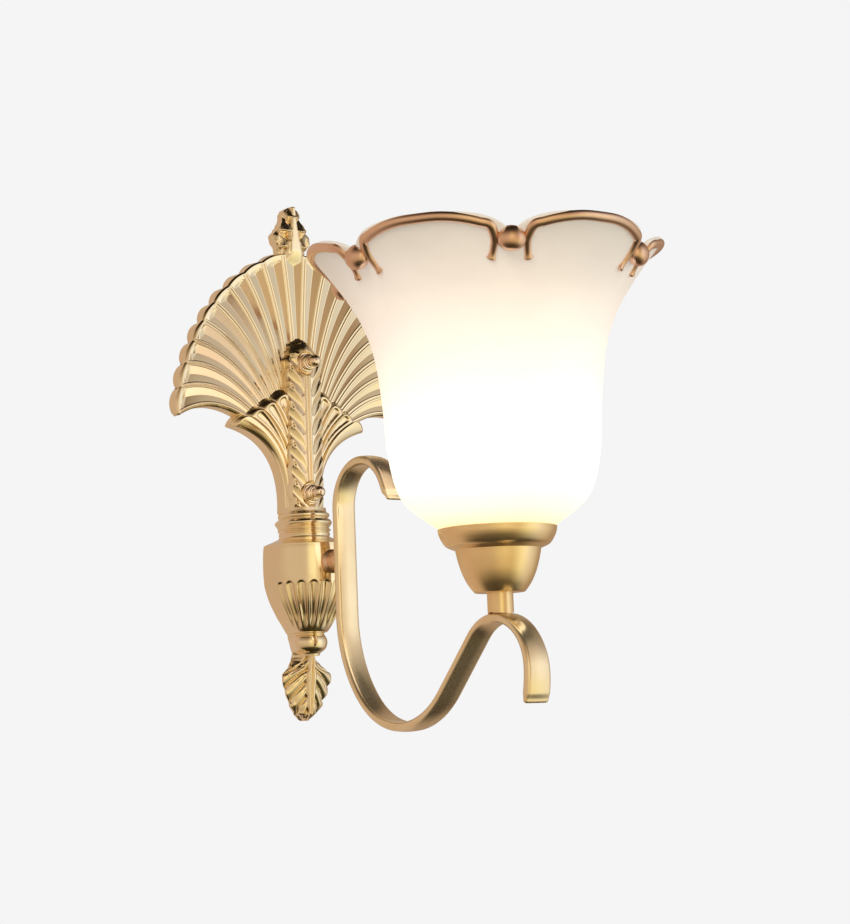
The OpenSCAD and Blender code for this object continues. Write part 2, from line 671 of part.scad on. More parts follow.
module arm()
{
    first = after(arm_line[0], [0, -tip_len, 0]);
    color(brass) difference() {
        swept(concat([concat(first, [arm_w - 2.4, arm_t * 0.45])], sized(arm_line, arm_w, arm_t),
            [pressed(arm_line[len(arm_line) - 1], tip_len, arm_w - 0.6, arm_t * 0.6)]), 5);
        swept(sized(arm_line, arm_cavity_w, arm_cavity_t), 3);
        facing_room(0, leg_depth - arm_t, arm_fix_z) cylinder(d = nipple_d, h = arm_t, $fn = 48);
        at_lamp() translate([0, 0, arm_top_z - arm_t / 2]) cylinder(d = nipple_d, h = arm_t, $fn = 48);
    }
}

// Leads: points [x, depth, height] from the terminal block to the lampholder
function arm_lead_points(x) = let (bend = 2.5, a = asin(bend / (hook_r + bend)))
    concat([for (k = [0:4]) let (t = 22.5 * k) [x, leg_depth - bend + bend * sin(t),
            arm_fix_z - bend + bend * cos(t)]],
        [for (r = [0:4], k = [1:stops(arm_runs[r])])
            let (q = point_on(pose(arm_start, arm_runs, r), arm_runs[r], k / stops(arm_runs[r])))
            [x, q[0], q[1]]],
        [for (k = [1:6]) let (q = after(hook_start, [-1, hook_r, (rise_slope - a) * k / 6]))
            [x, q[0], q[1]]],
        [for (k = [1:4]) let (t = a + (90 - a) * k / 4) [x,
            lamp_depth - hook_r * sin(a) + bend * (sin(t) - sin(a)),
            hook_centre[1] + hook_r * cos(a) - bend * (cos(t) - cos(a))]]);
function lead_points(s) = let (x = s * lead_x, e = s * pole_x, h = s * clamp_x)
    concat([[e, bracket_t + block_depth * 0.2, arm_fix_z], [e, bracket_t + block_depth + 1, arm_fix_z],
        [x + (e - x) * 0.85, bracket_t + block_depth + 2.4, arm_fix_z],
        [x + (e - x) * 0.15, nipple_in - 1.4, arm_fix_z], [x, nipple_in, arm_fix_z]],
        arm_lead_points(x),
        [[x, lamp_depth, base_z + 3.6], [x + (h - x) * 0.2, lamp_depth, base_z + 5],
        [x + (h - x) * 0.8, lamp_depth, base_z + 7.6], [h, lamp_depth, base_z + 9.4],
        [h, lamp_depth, insert_z + 1.5]]);
function unit(v) = v / norm(v);
module tube_along(route, r, sides)
{
    n = len(route);
    points = [for (k = [0:n - 1]) let (t = unit(route[min(k + 1, n - 1)] - route[max(k - 1, 0)]),
        e = unit([1, 0, 0] - t[0] * t), f = cross(t, e)) each [for (j = [0:sides - 1])
        route[k] + r * (cos(360 * j / sides) * e + sin(360 * j / sides) * f)]];
    skin = [for (k = [0:n - 2], j = [0:sides - 1]) each let (a = k * sides + j,
        b = k * sides + (j + 1) % sides) [[a, a + sides, b + sides], [a, b + sides, b]]];
    polyhedron(points = [for (p = points) [p[0], -p[1], p[2]]],
        faces = concat(skin, [[for (j = [0:sides - 1]) j]],
            [[for (j = [sides - 1:-1:0]) (n - 1) * sides + j]]));
}
module live_lead() { color("saddlebrown") tube_along(lead_points(1), lead_d / 2, 6); }
module neutral_lead() { color("royalblue") tube_along(lead_points(-1), lead_d / 2, 6); }

module neck_tube()
{
    color(brass) at_lamp() difference() {
        translate([0, 0, arm_top_z - 1.4]) ring(neck_d / 2, nipple_d / 2 + hole_play / 3, neck_h + 1.4);
        translate([-neck_d, 0, hook_centre[1]]) rotate([0, 90, 0])
            cylinder(r = hook_r + arm_t / 2 + 0.02, h = 2 * neck_d, $fn = 128);
    }
}
module lamp_nipple()
{
    color(brass) at_lamp() translate([0, 0, arm_top_z - arm_wall])
        ring(nipple_d / 2, nipple_bore / 2, base_z + 3 - arm_top_z + arm_wall);
}
// Cup profile from the foot to the rim, [radius, height above the foot]
band_z = cup_h - cup_band_h;
cup_line = [[cup_foot_r - 0.6, 0], [cup_foot_r, 0.5], [cup_foot_r + 2.6, 4], [cup_foot_r + 5, 9],
    [cup_waist_r - 1.2, 14.5], [cup_waist_r - 0.5, band_z - 2.4], [cup_waist_r + 0.2, band_z - 1.2],
    [cup_waist_r + 0.6, band_z], [cup_waist_r + 2.8, band_z + 1.4], [cup_rim_r - 2.4, band_z + 3.6],
    [cup_rim_r - 0.8, band_z + 6], [cup_rim_r - 0.2, cup_h - 1.2], [cup_rim_r, cup_h]];
module cup()
{
    color(brass) at_lamp() translate([0, 0, cup_z]) rotate_extrude($fn = 96)
        polygon(concat([[nipple_d / 2 + hole_play, 0]], cup_line,
            [for (k = [len(cup_line) - 1:-1:1]) cup_line[k] - [cup_wall, k == len(cup_line) - 1 ? 0 : -0.2]],
            [[cup_foot_r - 1, cup_wall], [nipple_d / 2 + hole_play, cup_wall]]));
}
module cup_washer()
{
    color(steel) at_lamp() translate([0, 0, cup_z + cup_wall])
        ring(nipple_d, nipple_d / 2 + hole_play, cup_washer_t);
}
module cup_nut()
{
    color(brass) at_lamp() translate([0, 0, cup_z + cup_wall + cup_washer_t])
        hex_nut(nipple_d * 1.5, nipple_d / 2, cup_nut_h);
}

// Lampholder: a base cup on the nipple, a flanged skirt, and the insert with its contacts
module holder_base()
{
    color(white_plastic) at_lamp() translate([0, 0, base_z]) rotate_extrude($fn = 64)
        polygon([[nipple_d / 2, 0], [base_r - 4.5, 0], [base_r - 3, 1.2], [base_r - 1.8, 4],
            [base_r, 9], [base_r, flange_z - base_z], [base_bore, flange_z - base_z], [base_bore, 9.5],
            [base_bore - 1.8, 5], [base_bore - 3.6, 3], [nipple_d / 2, 3]]);
}
module holder_skirt()
{
    color(white_plastic) at_lamp() translate([0, 0, flange_z]) rotate_extrude($fn = 96)
        polygon([[base_bore, 0], [skirt_r + 5.2, 0], [skirt_r + 5.2, flange_t], [skirt_r, flange_t],
            [skirt_r, flange_t + skirt_h], [skirt_r - skirt_wall, flange_t + skirt_h],
            [skirt_r - skirt_wall, flange_t], [base_bore, flange_t]]);
}
module holder_insert()
{
    color(white_plastic) at_lamp() translate([0, 0, insert_z]) difference() {
        cylinder(r = base_bore - hole_play / 3, h = insert_h, $fn = 64);
        for (s = [-1, 1]) {
            translate([s * clamp_x, 0, -1]) cylinder(r = lead_d / 2 + hole_play, h = 3, $fn = 24);
            translate([s * clamp_x, 0, insert_h - 0.8]) cylinder(d = clamp_d, h = 2, $fn = 24);
        }
    }
}
module holder_shell()
{
    color(brass) at_lamp() translate([0, 0, insert_top]) rotate_extrude($fn = 96)
        polygon([[cap_inner_r - 3, 0], [cap_inner_r + shell_t, 0], [cap_inner_r + shell_t, shell_h],
            [cap_inner_r + shell_t + 1.2, shell_h + 0.8], [cap_inner_r, shell_h + 0.8],
            [cap_inner_r, shell_t], [cap_inner_r - 3, shell_t]]);
}
module centre_contact()
{
    color(brass) at_lamp() translate([0, 0, insert_top])
        cylinder(d = 5, h = contact_z - insert_top, $fn = 32);
}
module side_contact()
{
    color(brass) at_lamp() translate([cap_inner_r - 4.2, -1.5, insert_top + shell_t])
        cube([3.4, 3, 1.2]);
}
module holder_screws()
{
    color(steel) at_lamp() for (s = [-1, 1]) translate([s * clamp_x, 0, insert_top - 0.8])
        cylinder(d = clamp_d, h = 0.8, $fn = 24);
}
module shade_gasket()
{
    color([0.3, 0.3, 0.3]) at_lamp() translate([0, 0, flange_z + flange_t])
        ring(skirt_r + 5, skirt_r + 0.6, gasket_t);
}

// Shade: a bell that flares to a rim of lobes, thick glass with the beads moulded in
shade_line = [[skirt_r + 1, 0], [skirt_r + 4.6, 0], [skirt_r + 9, 2.2], [belly_r - 7, 14.5],
    [belly_r - 1.4, 34], [belly_r + 0.4, 58], [belly_r + 3, 79], [belly_r + 7.6, shade_h - 25],
    [belly_r + 14.4, shade_h - 11.5], [bead_ring_r, shade_h]];
function lobe_at(a) = let (f = a * shade_lobes / 360, w = abs(2 * (f - floor(f)) - 1))
    pow(1 - pow(w, 3), 0.6);
function line_point(k) = let (n = len(shade_line) - 1, i = min(floor(k), n - 1), t = k - i,
        p0 = shade_line[max(i - 1, 0)], p1 = shade_line[i], p2 = shade_line[i + 1],
        p3 = shade_line[min(i + 2, n)])
    0.5 * (2 * p1 + (p2 - p0) * t + (2 * p0 - 5 * p1 + 4 * p2 - p3) * t * t
        + (3 * p1 - p0 - 3 * p2 + p3) * t * t * t);
function shade_point(k, a) = let (n = len(shade_line) - 1, s = max(0, (k / n - 0.72) / 0.28))
    line_point(k) + lobe_at(a) * s * s * [lobe_out, lobe_up];
function shade_inner(k, a) = let (p = shade_point(k, a), q = shade_point(k + 0.05, a),
        o = shade_point(max(k - 0.05, 0), a), t = unit(q - o)) p + glass_t * [-t[1], t[0]];
shade_stops = [0, 1, 1.5, 2, 2.5, 3, 4, 5, 6, 7, 7.7, 8.3, 9];
inner_stops = [2.5, 3, 4, 5, 6, 7, 7.7, 8.3, 8.93];
module shade()
{
    per = 10;
    n = shade_lobes * per;
    half = 180 / shade_lobes;
    seat_in = [[skirt_r + 1, glass_t], [skirt_r + 5.2, glass_t], [skirt_r + 8, glass_t + 1.6]];
    rows = concat([for (k = shade_stops) [for (j = [0:n - 1]) shade_point(k, 360 * j / n)]],
        [for (i = [len(inner_stops) - 1:-1:0]) [for (j = [0:n - 1])
            shade_inner(inner_stops[i], 360 * j / n)]],
        [for (i = [2:-1:0]) [for (j = [0:n - 1]) seat_in[i]]]);
    m = len(rows);
    points = [for (r = rows) each [for (j = [0:n - 1]) let (a = 360 * j / n + half + shade_turn)
        [r[j][0] * sin(a), -r[j][0] * cos(a), r[j][1]]]];
    faces = [for (i = [0:m - 1], j = [0:n - 1]) each let (a = i * n + j, b = i * n + (j + 1) % n,
        c = ((i + 1) % m) * n + j, d = ((i + 1) % m) * n + (j + 1) % n) [[a, d, b], [a, c, d]]];
    color(frosted) at_lamp() translate([0, 0, shade_seat_z]) {
        polyhedron(points = points, faces = faces);
        for (j = [0:shade_lobes - 1]) rotate([0, 0, 360 * j / shade_lobes + half + shade_turn])
            translate([0, -bead_ring_r - 0.8, shade_h - 0.5]) sphere(d = bead_d, $fn = 10);
    }
}

module ring_washer()
{
    color(steel) at_lamp() translate([0, 0, ring_washer_z])
        ring(skirt_r + 4.6, skirt_r + ring_play, ring_washer_t);
}
module shade_ring()
{
    r = skirt_r + ring_play;
    color(white_plastic) at_lamp() translate([0, 0, ring_z]) difference() {
        rotate_extrude($fn = 96) polygon([[r, 0], [r + ring_flange - 1.2, 0],
            [r + ring_flange - 1.2, ring_h - 1.5], [r + ring_flange - 2.4, ring_h], [r, ring_h]]);
        for (a = [0:30:330]) rotate([0, 0, a]) translate([r + ring_flange - 0.4, 0, -1])
            cylinder(d = 2.4, h = ring_h + 2, $fn = 24);
    }
}

// Bulb, from its centre contact upwards
module bulb_contact()
{
    color(steel) at_lamp() translate([0, 0, contact_z]) rotate_extrude($fn = 48)
        polygon([[0, 0], [3.2, 0], [4.6, 1.2], [4.6, 2], [0, 2]]);
}
module bulb_cap()
{
    r = cap_r;
    color(steel) at_lamp() translate([0, 0, contact_z + 2]) rotate_extrude($fn = 64)
        polygon([[0, 0], [5, 0], [r - 2.4, 2.6], [r, 3.4], [r, cap_len + 1.2], [r + 0.2, cap_len + 2],
            [r - 0.6, cap_len + 2], [r - 0.6, 4], [r - 3, 3.4], [0, 1.6]]);
}
// Bulb profile, [radius, height above the contact]
bulb_line = [[cap_r, cap_len + 4], [cap_r + 1, cap_len + 9], [cap_r + 3.4, cap_len + 17],
    [bulb_r * 0.73, board_z], [bulb_r * 0.92, bulb_h - 44], [bulb_r, bulb_h - 30],
    [bulb_r * 0.955, bulb_h - 19], [bulb_r * 0.80, bulb_h - 9.4], [bulb_r * 0.54, bulb_h - 3.4],
    [bulb_r * 0.26, bulb_h - 0.7], [0, bulb_h]];
module bulb_housing()
{
    color(white_plastic) at_lamp() translate([0, 0, contact_z]) rotate_extrude($fn = 64)
        polygon(concat([for (k = [0:3]) bulb_line[k]], [for (k = [3:-1:0]) bulb_line[k] - [1.6, 0]]));
}
module led_board()
{
    color(white_plastic) at_lamp() translate([0, 0, contact_z + board_z]) {
        cylinder(r = bulb_r * 0.73 - 1.3, h = 1.6, $fn = 64);
        for (a = [0:45:315]) rotate([0, 0, a]) translate([bulb_r * 0.45, 0, 1.6])
            translate([-1.5, -1.5, 0]) cube([3, 3, 0.8]);
    }
}
module bulb_dome()
{
    n = len(bulb_line) - 1;
    color([1, 0.98, 0.92]) at_lamp() translate([0, 0, contact_z]) rotate_extrude($fn = 64)
        polygon(concat([for (k = [3:n]) bulb_line[k]], [[0, bulb_h - 1.2]],
            [for (k = [n - 1:-1:3]) let (q = bulb_line[k][0] / bulb_r)
                bulb_line[k] - 1.2 * [max(q, 0.35), k > 5 ? sqrt(1 - q * q) : 0]]));
}

backplate();
wall_bracket();
bracket_studs();
stud_nuts();
cap_nuts();
earth_screw();
earth_washer();
terminal_block();
terminal_screws();
terminal_mount_screw();
arm_nipple();
arm_nut();
arm_washer();
collar();
arm();
live_lead();
neutral_lead();
neck_tube();
lamp_nipple();
cup();
cup_washer();
cup_nut();
holder_base();
holder_skirt();
holder_insert();
holder_shell();
centre_contact();
side_contact();
holder_screws();
shade_gasket();
shade();
ring_washer();
shade_ring();
bulb_contact();
bulb_cap();
bulb_housing();
led_board();
bulb_dome();
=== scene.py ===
"""Looks of the wall lamp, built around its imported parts.

Lengths are in millimetres until a mesh is made."""
import json
import math

import bmesh
import bpy
from mathutils import Matrix, Vector


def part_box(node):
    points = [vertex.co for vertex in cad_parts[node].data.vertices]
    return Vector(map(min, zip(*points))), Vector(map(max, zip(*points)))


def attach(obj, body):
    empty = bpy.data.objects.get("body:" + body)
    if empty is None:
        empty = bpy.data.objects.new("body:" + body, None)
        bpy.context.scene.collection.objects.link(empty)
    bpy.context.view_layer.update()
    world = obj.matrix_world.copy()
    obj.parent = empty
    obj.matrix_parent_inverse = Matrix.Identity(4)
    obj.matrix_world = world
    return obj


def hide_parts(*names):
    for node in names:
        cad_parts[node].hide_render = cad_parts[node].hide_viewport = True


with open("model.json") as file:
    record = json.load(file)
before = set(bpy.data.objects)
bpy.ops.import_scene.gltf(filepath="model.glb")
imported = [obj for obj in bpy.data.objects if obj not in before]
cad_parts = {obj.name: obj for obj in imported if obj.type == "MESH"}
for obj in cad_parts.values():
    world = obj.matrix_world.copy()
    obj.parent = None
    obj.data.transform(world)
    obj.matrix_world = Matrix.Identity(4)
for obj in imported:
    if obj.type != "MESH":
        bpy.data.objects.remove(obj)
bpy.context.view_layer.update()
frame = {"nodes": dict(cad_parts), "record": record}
MM = 0.001


# Small helpers for numbers and curves

def frac(t):
    return t - math.floor(t)


def mix(a, b, t):
    return a + (b - a) * t


def clamp(t, low=0.0, high=1.0):
    return max(low, min(high, t))


def ease(t):
    """Smooth step from 0 to 1."""
    t = clamp(t)
    return t * t * (3 - 2 * t)


def hill(t, middle, width):
    return math.exp(-((t - middle) / width) ** 2)


def round_rib(t, middle, half):
    """Height, from 0 to 1, of a round rib across t."""
    return math.sqrt(max(0.0, 1 - ((t - middle) / half) ** 2))


def bezier(a, b, c, t):
    return [(1 - t) ** 2 * p + 2 * t * (1 - t) * q + t * t * r for p, q, r in zip(a, b, c)]


def polar(r, degrees):
    a = math.radians(degrees)
    return r * math.sin(a), r * math.cos(a)


def line_point(line, k):
    """Point at k on the smooth curve through a list of points, where k counts the points."""
    last = len(line) - 1
    i = max(0, min(int(math.floor(k)), last - 1))
    t = k - i
    near = line[max(i - 1, 0)], line[i], line[i + 1], line[min(i + 2, last)]
    return [0.5 * (2 * b + (c - a) * t + (2 * a - 5 * b + 4 * c - d) * t * t
                   + (3 * b - a - 3 * c + d) * t ** 3) for a, b, c, d in zip(*near)]


def smooth_line(line, per):
    """The smooth curve through the points, with so many steps from each point to the next."""
    return [line_point(line, k / per) for k in range((len(line) - 1) * per + 1)]


def box_mm(node):
    low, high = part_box(node)
    return [v / MM for v in low], [v / MM for v in high]


# Meshes

def add_piece(name, points, faces, slot, body="root", sharp=50, look=None):
    """Makes a closed mesh from points in millimetres, shades it smooth and hangs it on its body.

    It wears the material of its slot or, where given, that of the name look."""
    mesh = bpy.data.meshes.new(name)
    mesh.from_pydata([(x * MM, y * MM, z * MM) for x, y, z in points], [], faces)
    cleaner = bmesh.new()
    cleaner.from_mesh(mesh)
    bmesh.ops.remove_doubles(cleaner, verts=cleaner.verts, dist=1e-7)
    bmesh.ops.dissolve_degenerate(cleaner, edges=cleaner.edges, dist=1e-7)
    bmesh.ops.recalc_face_normals(cleaner, faces=cleaner.faces)
    cleaner.to_mesh(mesh)
    cleaner.free()
    for face in mesh.polygons:
        face.use_smooth = True
    mesh.set_sharp_from_angle(angle=math.radians(sharp))
    mesh.materials.append(LOOKS[look or slot])
    piece = bpy.data.objects.new(name, mesh)
    bpy.context.scene.collection.objects.link(piece)
    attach(piece, body)
    return piece


def grid_faces(rows, cols, wrap_rows=False, wrap_cols=False, first=0):
    """Faces between rows of points, where first is the number of the first point."""
    return [[first + i * cols + j, first + i * cols + (j + 1) % cols,
             first + (i + 1) % rows * cols + (j + 1) % cols, first + (i + 1) % rows * cols + j]
            for i in range(rows if wrap_rows else rows - 1) for j in range(cols if wrap_cols else cols - 1)]


def lathe(name, profile, place, slot, sides=64, facing_room=False, sharp=50, look=None):
    """Turns a closed profile of [radius, height] round an axis that starts at place.

    The axis points up or, with facing_room, from the wall into the room."""
    points = []
    for r, h in profile:
        for j in range(sides):
            turn = 2 * math.pi * (j / sides)
            x, y = r * math.cos(turn), r * math.sin(turn)
            local = (x, -h, y) if facing_room else (x, y, h)
            points.append([a + b for a, b in zip(place, local)])
    faces = grid_faces(len(profile), sides, wrap_rows=True, wrap_cols=True)
    return add_piece(name, points, faces, slot, sharp=sharp, look=look)


def sweep(name, stations, slot):
    """Skins a list of closed rings of points, and closes both ends."""
    n = len(stations[0])
    points = [p for ring in stations for p in ring]
    faces = grid_faces(len(stations), n, wrap_cols=True)
    faces.append(list(range(n)))
    faces.append(list(range(len(points) - n, len(points))))
    return add_piece(name, points, faces, slot, sharp=60)


# Chamfer round a relief, as [how far out, how far back] in shares of its size
CHAMFER = [[0.15, 0.05], [0.9, 0.85], [1, 1.05]]

# Side wall of a relief: this share of its taper and spread is reached at this share of its depth
WALL_SHARE, WALL_DEPTH = 0.7, 0.3


def relief(name, us, vs, front, back, edge=0.5, rear=None, sharp=60, taper=1.0, spread=None):
    """A carved gold piece on the wall side: front(u, v) gives x, depth and z.

    Its border has a chamfer of the size edge, and its side wall falls to the depth back. There its widths
    are times taper, and it stands further out by spread(u, v). rear(u, v), where given, is a hollow's
    floor."""
    nu, nv = len(us), len(vs)
    points = [list(front(u, v)) for u in us for v in vs]
    border = [i * nv + nv - 1 for i in range(nu)] + [(nu - 1) * nv + j for j in range(nv - 2, -1, -1)]
    border += [i * nv for i in range(nu - 2, -1, -1)] + list(range(1, nv - 1))
    n = len(border)
    faces = grid_faces(nu, nv)
    loop = [points[k] for k in border]
    area = sum(loop[k][0] * loop[(k + 1) % n][2] - loop[(k + 1) % n][0] * loop[k][2] for k in range(n))
    sign = 1 if area > 0 else -1
    outward = []
    for k in range(n):
        a, b = loop[k - 1], loop[(k + 1) % n]
        dx, dz = b[0] - a[0], b[2] - a[2]
        size = math.hypot(dx, dz) or 1
        outward.append((sign * dz / size, -sign * dx / size))
    extra = [spread(us[k // nv], vs[k % nv]) if spread else 0 for k in border]

    def add_ring(offset, depth, down=0.0):
        """A ring round the border, this far out, where down is its share of the taper and spread."""
        start = len(points)
        for k in range(n):
            x, d, z = loop[k]
            out = offset + extra[k] * down
            side_x, side_z = outward[k]
            points.append([(x + out * side_x) * mix(1, taper, down), depth(d), z + out * side_z])
        return list(range(start, start + n))

    def floor_point(u, v):
        if rear:
            return list(rear(u, v))
        x, _, z = front(u, v)
        return [x * taper, back, z]

    rings = [border]
    for out, fall in CHAMFER:
        rings.append(add_ring(edge * out, lambda d: d - edge * fall))
    rings.append(add_ring(edge, lambda d: mix(d - edge, back, WALL_DEPTH), WALL_SHARE))
    rings.append(add_ring(edge, lambda d: back, 1.0))
    start = len(points)
    points += [floor_point(u, v) for u in us for v in vs]
    rear_border = [start + k for k in border]
    if rear:
        lip = len(points)
        points += [[points[k][0], back, points[k][2]] for k in rear_border]
        rings.append(list(range(lip, lip + n)))
    rings.append(rear_border)
    for a, b in zip(rings, rings[1:]):
        faces += [[a[k], a[(k + 1) % n], b[(k + 1) % n], b[k]] for k in range(n)]
    faces += grid_faces(nu, nv, first=start)
    return add_piece(name, [[x, -d, z] for x, d, z in points], faces, "cast_gold", sharp=sharp)


# Materials, by their names: each material slot has its own

LOOKS = {}


class NodeTree:
    """A node tree with short ways to add and join its nodes."""

    def __init__(self, tree):
        self.tree = tree

    def node(self, kind, **values):
        made = self.tree.nodes.new(kind)
        for key, value in values.items():
            setattr(made, key, value)
        return made

    def feed(self, target, value):
        """Gives an input a plain value, or the output of another node."""
        if isinstance(value, bpy.types.NodeSocket):
            self.tree.links.new(value, target)
        else:
            target.default_value = value

    def feed_all(self, made, values):
        """Feeds the inputs of a node by their names."""
        for key, value in values.items():
            self.feed(made.inputs[key], value)

    def calc(self, operation, *values):
        made = self.node("ShaderNodeMath", operation=operation)
        for target, value in zip(made.inputs, values):
            self.feed(target, value)
        return made.outputs["Value"]

    def axes(self, vector):
        made = self.node("ShaderNodeSeparateXYZ")
        self.feed(made.inputs["Vector"], vector)
        return [made.outputs[axis] for axis in "XYZ"]

    def share(self, value, low, high):
        """0 where the value is low, and 1 where it is high."""
        made = self.node("ShaderNodeMapRange")
        self.feed_all(made, {"Value": value, "From Min": low, "From Max": high})
        return made.outputs["Result"]

    def span(self, factor, low, high):
        """From low to high, while the factor runs from 0 to 1."""
        made = self.node("ShaderNodeMapRange")
        self.feed_all(made, {"Value": factor, "To Min": low, "To Max": high})
        return made.outputs["Result"]

    def ramp(self, factor, stops):
        """Colours along a factor, from stops of (place, colour)."""
        made = self.node("ShaderNodeValToRGB")
        ramp = made.color_ramp
        while len(ramp.elements) < len(stops):
            ramp.elements.new(0.5)
        for element, (place, colour) in zip(ramp.elements, stops):
            element.position = place
            element.color = (*colour, 1)
        self.feed(made.inputs["Fac"], factor)
        return made.outputs["Color"]

    def blend(self, factor, first, second, how="MIX"):
        """Two colours mixed. The colours of this node are its inputs 6 and 7 and its output 2."""
        made = self.node("ShaderNodeMix", data_type="RGBA", blend_type=how)
        self.feed(made.inputs["Factor"], factor)
        self.feed(made.inputs[6], first)
        self.feed(made.inputs[7], second)
        return made.outputs[2]


class Shader(NodeTree):
    """A new material in LOOKS, and the inputs of its main node."""

    def __init__(self, name):
        LOOKS[name] = bpy.data.materials.new(name)
        LOOKS[name].use_nodes = True
        super().__init__(LOOKS[name].node_tree)
        self.main = self.tree.nodes["Principled BSDF"]
        self.places = self.node("ShaderNodeTexCoord").outputs["Object"]

    def set(self, **values):
        """Feeds the main node's inputs, with _ for the spaces in their names."""
        self.feed_all(self.main, {key.replace("_", " "): value for key, value in values.items()})

    def noise(self, scale, detail=3, stretch=(1, 1, 1)):
        mapping = self.node("ShaderNodeMapping")
        self.feed_all(mapping, {"Vector": self.places, "Scale": stretch})
        made = self.node("ShaderNodeTexNoise")
        self.feed_all(made, {"Vector": mapping.outputs["Vector"], "Scale": scale, "Detail": detail})
        return made.outputs["Fac"]

    def bump(self, height, strength):
        made = self.node("ShaderNodeBump")
        self.feed_all(made, {"Height": height, "Strength": strength, "Distance": 0.2 * MM})
        self.feed(self.main.inputs["Normal"], made.outputs["Normal"])


def plated(name, colour, stain, rough, grain=(1, 1, 1), grain_scale=900, grain_bump=0.03, metal=1.0):
    """Plated metal: its tone drifts towards a stain, and its gloss varies with a fine grain."""
    shader = Shader(name)
    tone = shader.ramp(shader.noise(38, 4), [(0.35, stain), (0.6, colour)])
    fine = shader.noise(grain_scale, 4, grain)
    shader.set(Base_Color=tone, Roughness=shader.span(fine, *rough), Metallic=metal)
    shader.bump(fine, grain_bump)


def moulded(name, colour, shade, rough=(0.38, 0.55), coat=0.0):
    """Moulded plastic, rubber or insulation, with a faint flow in its colour."""
    shader = Shader(name)
    tone = shader.ramp(shader.noise(60), [(0.3, shade), (0.65, colour)])
    fine = shader.noise(1400)
    shader.set(Base_Color=tone, Roughness=shader.span(fine, *rough), Coat_Weight=coat)
    shader.bump(fine, 0.05)


# Painted glow of the lit glass by its height, from 0 at the foot to 1 at the rim: the bulb's light painted
# in as emission, white low down and fading to painted shade at the rim
GLASS_GLOW = [
    (0.0, (0.78, 0.62, 0.36)), (0.05, (0.98, 0.9, 0.62)), (0.2, (1.0, 0.98, 0.86)),
    (0.4, (0.9, 0.8, 0.66)), (0.52, (0.7, 0.6, 0.53)), (0.66, (0.5, 0.45, 0.42)),
    (0.76, (0.42, 0.38, 0.35)), (0.86, (0.29, 0.27, 0.26)), (1.0, (0.13, 0.14, 0.14))]


def glowing_glass(low, high):
    """Frosted glass lit from inside, with its glow painted by height: white below, cream and then
    grey-beige towards the rim.
    """
    shader = Shader("frosted_glass")
    height = shader.share(shader.axes(shader.places)[2], low * MM, high * MM)
    tone = shader.ramp(shader.noise(45), [(0.3, (0.74, 0.7, 0.65)), (0.7, (0.79, 0.76, 0.71))])
    frost = shader.noise(2200, 2)
    shader.set(Base_Color=tone, Roughness=shader.span(frost, 0.32, 0.5),
               Emission_Color=shader.ramp(height, GLASS_GLOW), Emission_Strength=1.0)
    shader.bump(frost, 0.04)


def lit_diffuser():
    shader = Shader("bulb_diffuser")
    glow = shader.ramp(shader.noise(30, 2), [(0.2, (1.0, 0.9, 0.7)), (0.8, (1.0, 0.95, 0.82))])
    shader.set(Base_Color=glow, Roughness=0.4, Emission_Color=glow, Emission_Strength=3.0)


plated("cast_gold", (0.93, 0.8, 0.58), (0.91, 0.76, 0.53), rough=(0.07, 0.14), grain_scale=300,
       grain_bump=0.01)
plated("satin_gold", (0.93, 0.78, 0.55), (0.88, 0.71, 0.47), rough=(0.15, 0.24), grain=(1, 1, 0.08),
       metal=0.88)
plated("brushed_brass", (0.97, 0.76, 0.46), (0.91, 0.68, 0.38), rough=(0.19, 0.3), grain=(1, 1, 6),
       metal=0.94)
plated("copper_gold", (0.88, 0.62, 0.47), (0.8, 0.52, 0.38), rough=(0.26, 0.36))
plated("bright_copper", (0.97, 0.84, 0.7), (0.93, 0.77, 0.6), rough=(0.05, 0.1), grain_bump=0.01)
plated("plain_brass", (0.79, 0.66, 0.4), (0.66, 0.52, 0.3), rough=(0.22, 0.4))
plated("zinc_steel", (0.7, 0.71, 0.74), (0.58, 0.59, 0.62), rough=(0.26, 0.45))
plated("nickel", (0.78, 0.76, 0.72), (0.68, 0.66, 0.62), rough=(0.12, 0.26))
moulded("white_plastic", (0.86, 0.86, 0.83), (0.8, 0.79, 0.76), coat=0.2)
moulded("board_white", (0.88, 0.88, 0.86), (0.8, 0.8, 0.78))
moulded("brown_insulation", (0.3, 0.14, 0.06), (0.22, 0.1, 0.04))
moulded("blue_insulation", (0.07, 0.2, 0.55), (0.05, 0.15, 0.42))
moulded("gasket_fibre", (0.2, 0.19, 0.18), (0.14, 0.13, 0.12), rough=(0.7, 0.9))

LOW_SHADE, HIGH_SHADE = box_mm("shade")
glowing_glass(LOW_SHADE[2], HIGH_SHADE[2])
lit_diffuser()


def dress_nodes():
    """Gives every node that stays the material of its slot."""
    for part in frame["record"]["subparts"]:
        node = frame["nodes"][part["node"]]
        for place in node.material_slots:
            place.material = LOOKS[part["material_slot"]]


# Backplate: the fan

FAN_FLUTES = 9
FAN_CENTRE_Z = 20
FAN_R = 64.2
FAN_SPREAD = 101.5
FAN_GAP = 5.2
FAN_DEPTH = 7.4
FAN_DISH = 1.4
FAN_WALL = 1.8
FLUTE_DEPTH = 1.6
FLUTE_SLOPE = 0.27
SCALLOP = 0.9
WALL_SCALLOP = 1.9
WALL_LEAN = 1.3
FAN_TOP_EXTRA = 7.5
FAN_TIP_EXTRA = 7.8
FAN_WAIST = 0.55
NECK_R = 12.4
NECK_TOP_Z = -42
FAN_STEM_Z = FAN_CENTRE_Z - FAN_R / 2

# The point that bends a flute's curve: its reach as a share of FAN_R, its height, and what that gains
# towards the middle flute
BEND_REACH = 0.69
BEND_Z = FAN_CENTRE_Z + 2
BEND_RISE = 30

# Half width of the ridge between two flutes, and the most of a pitch that it takes
RIDGE_HALF = 1.35
RIDGE_MOST = 0.3

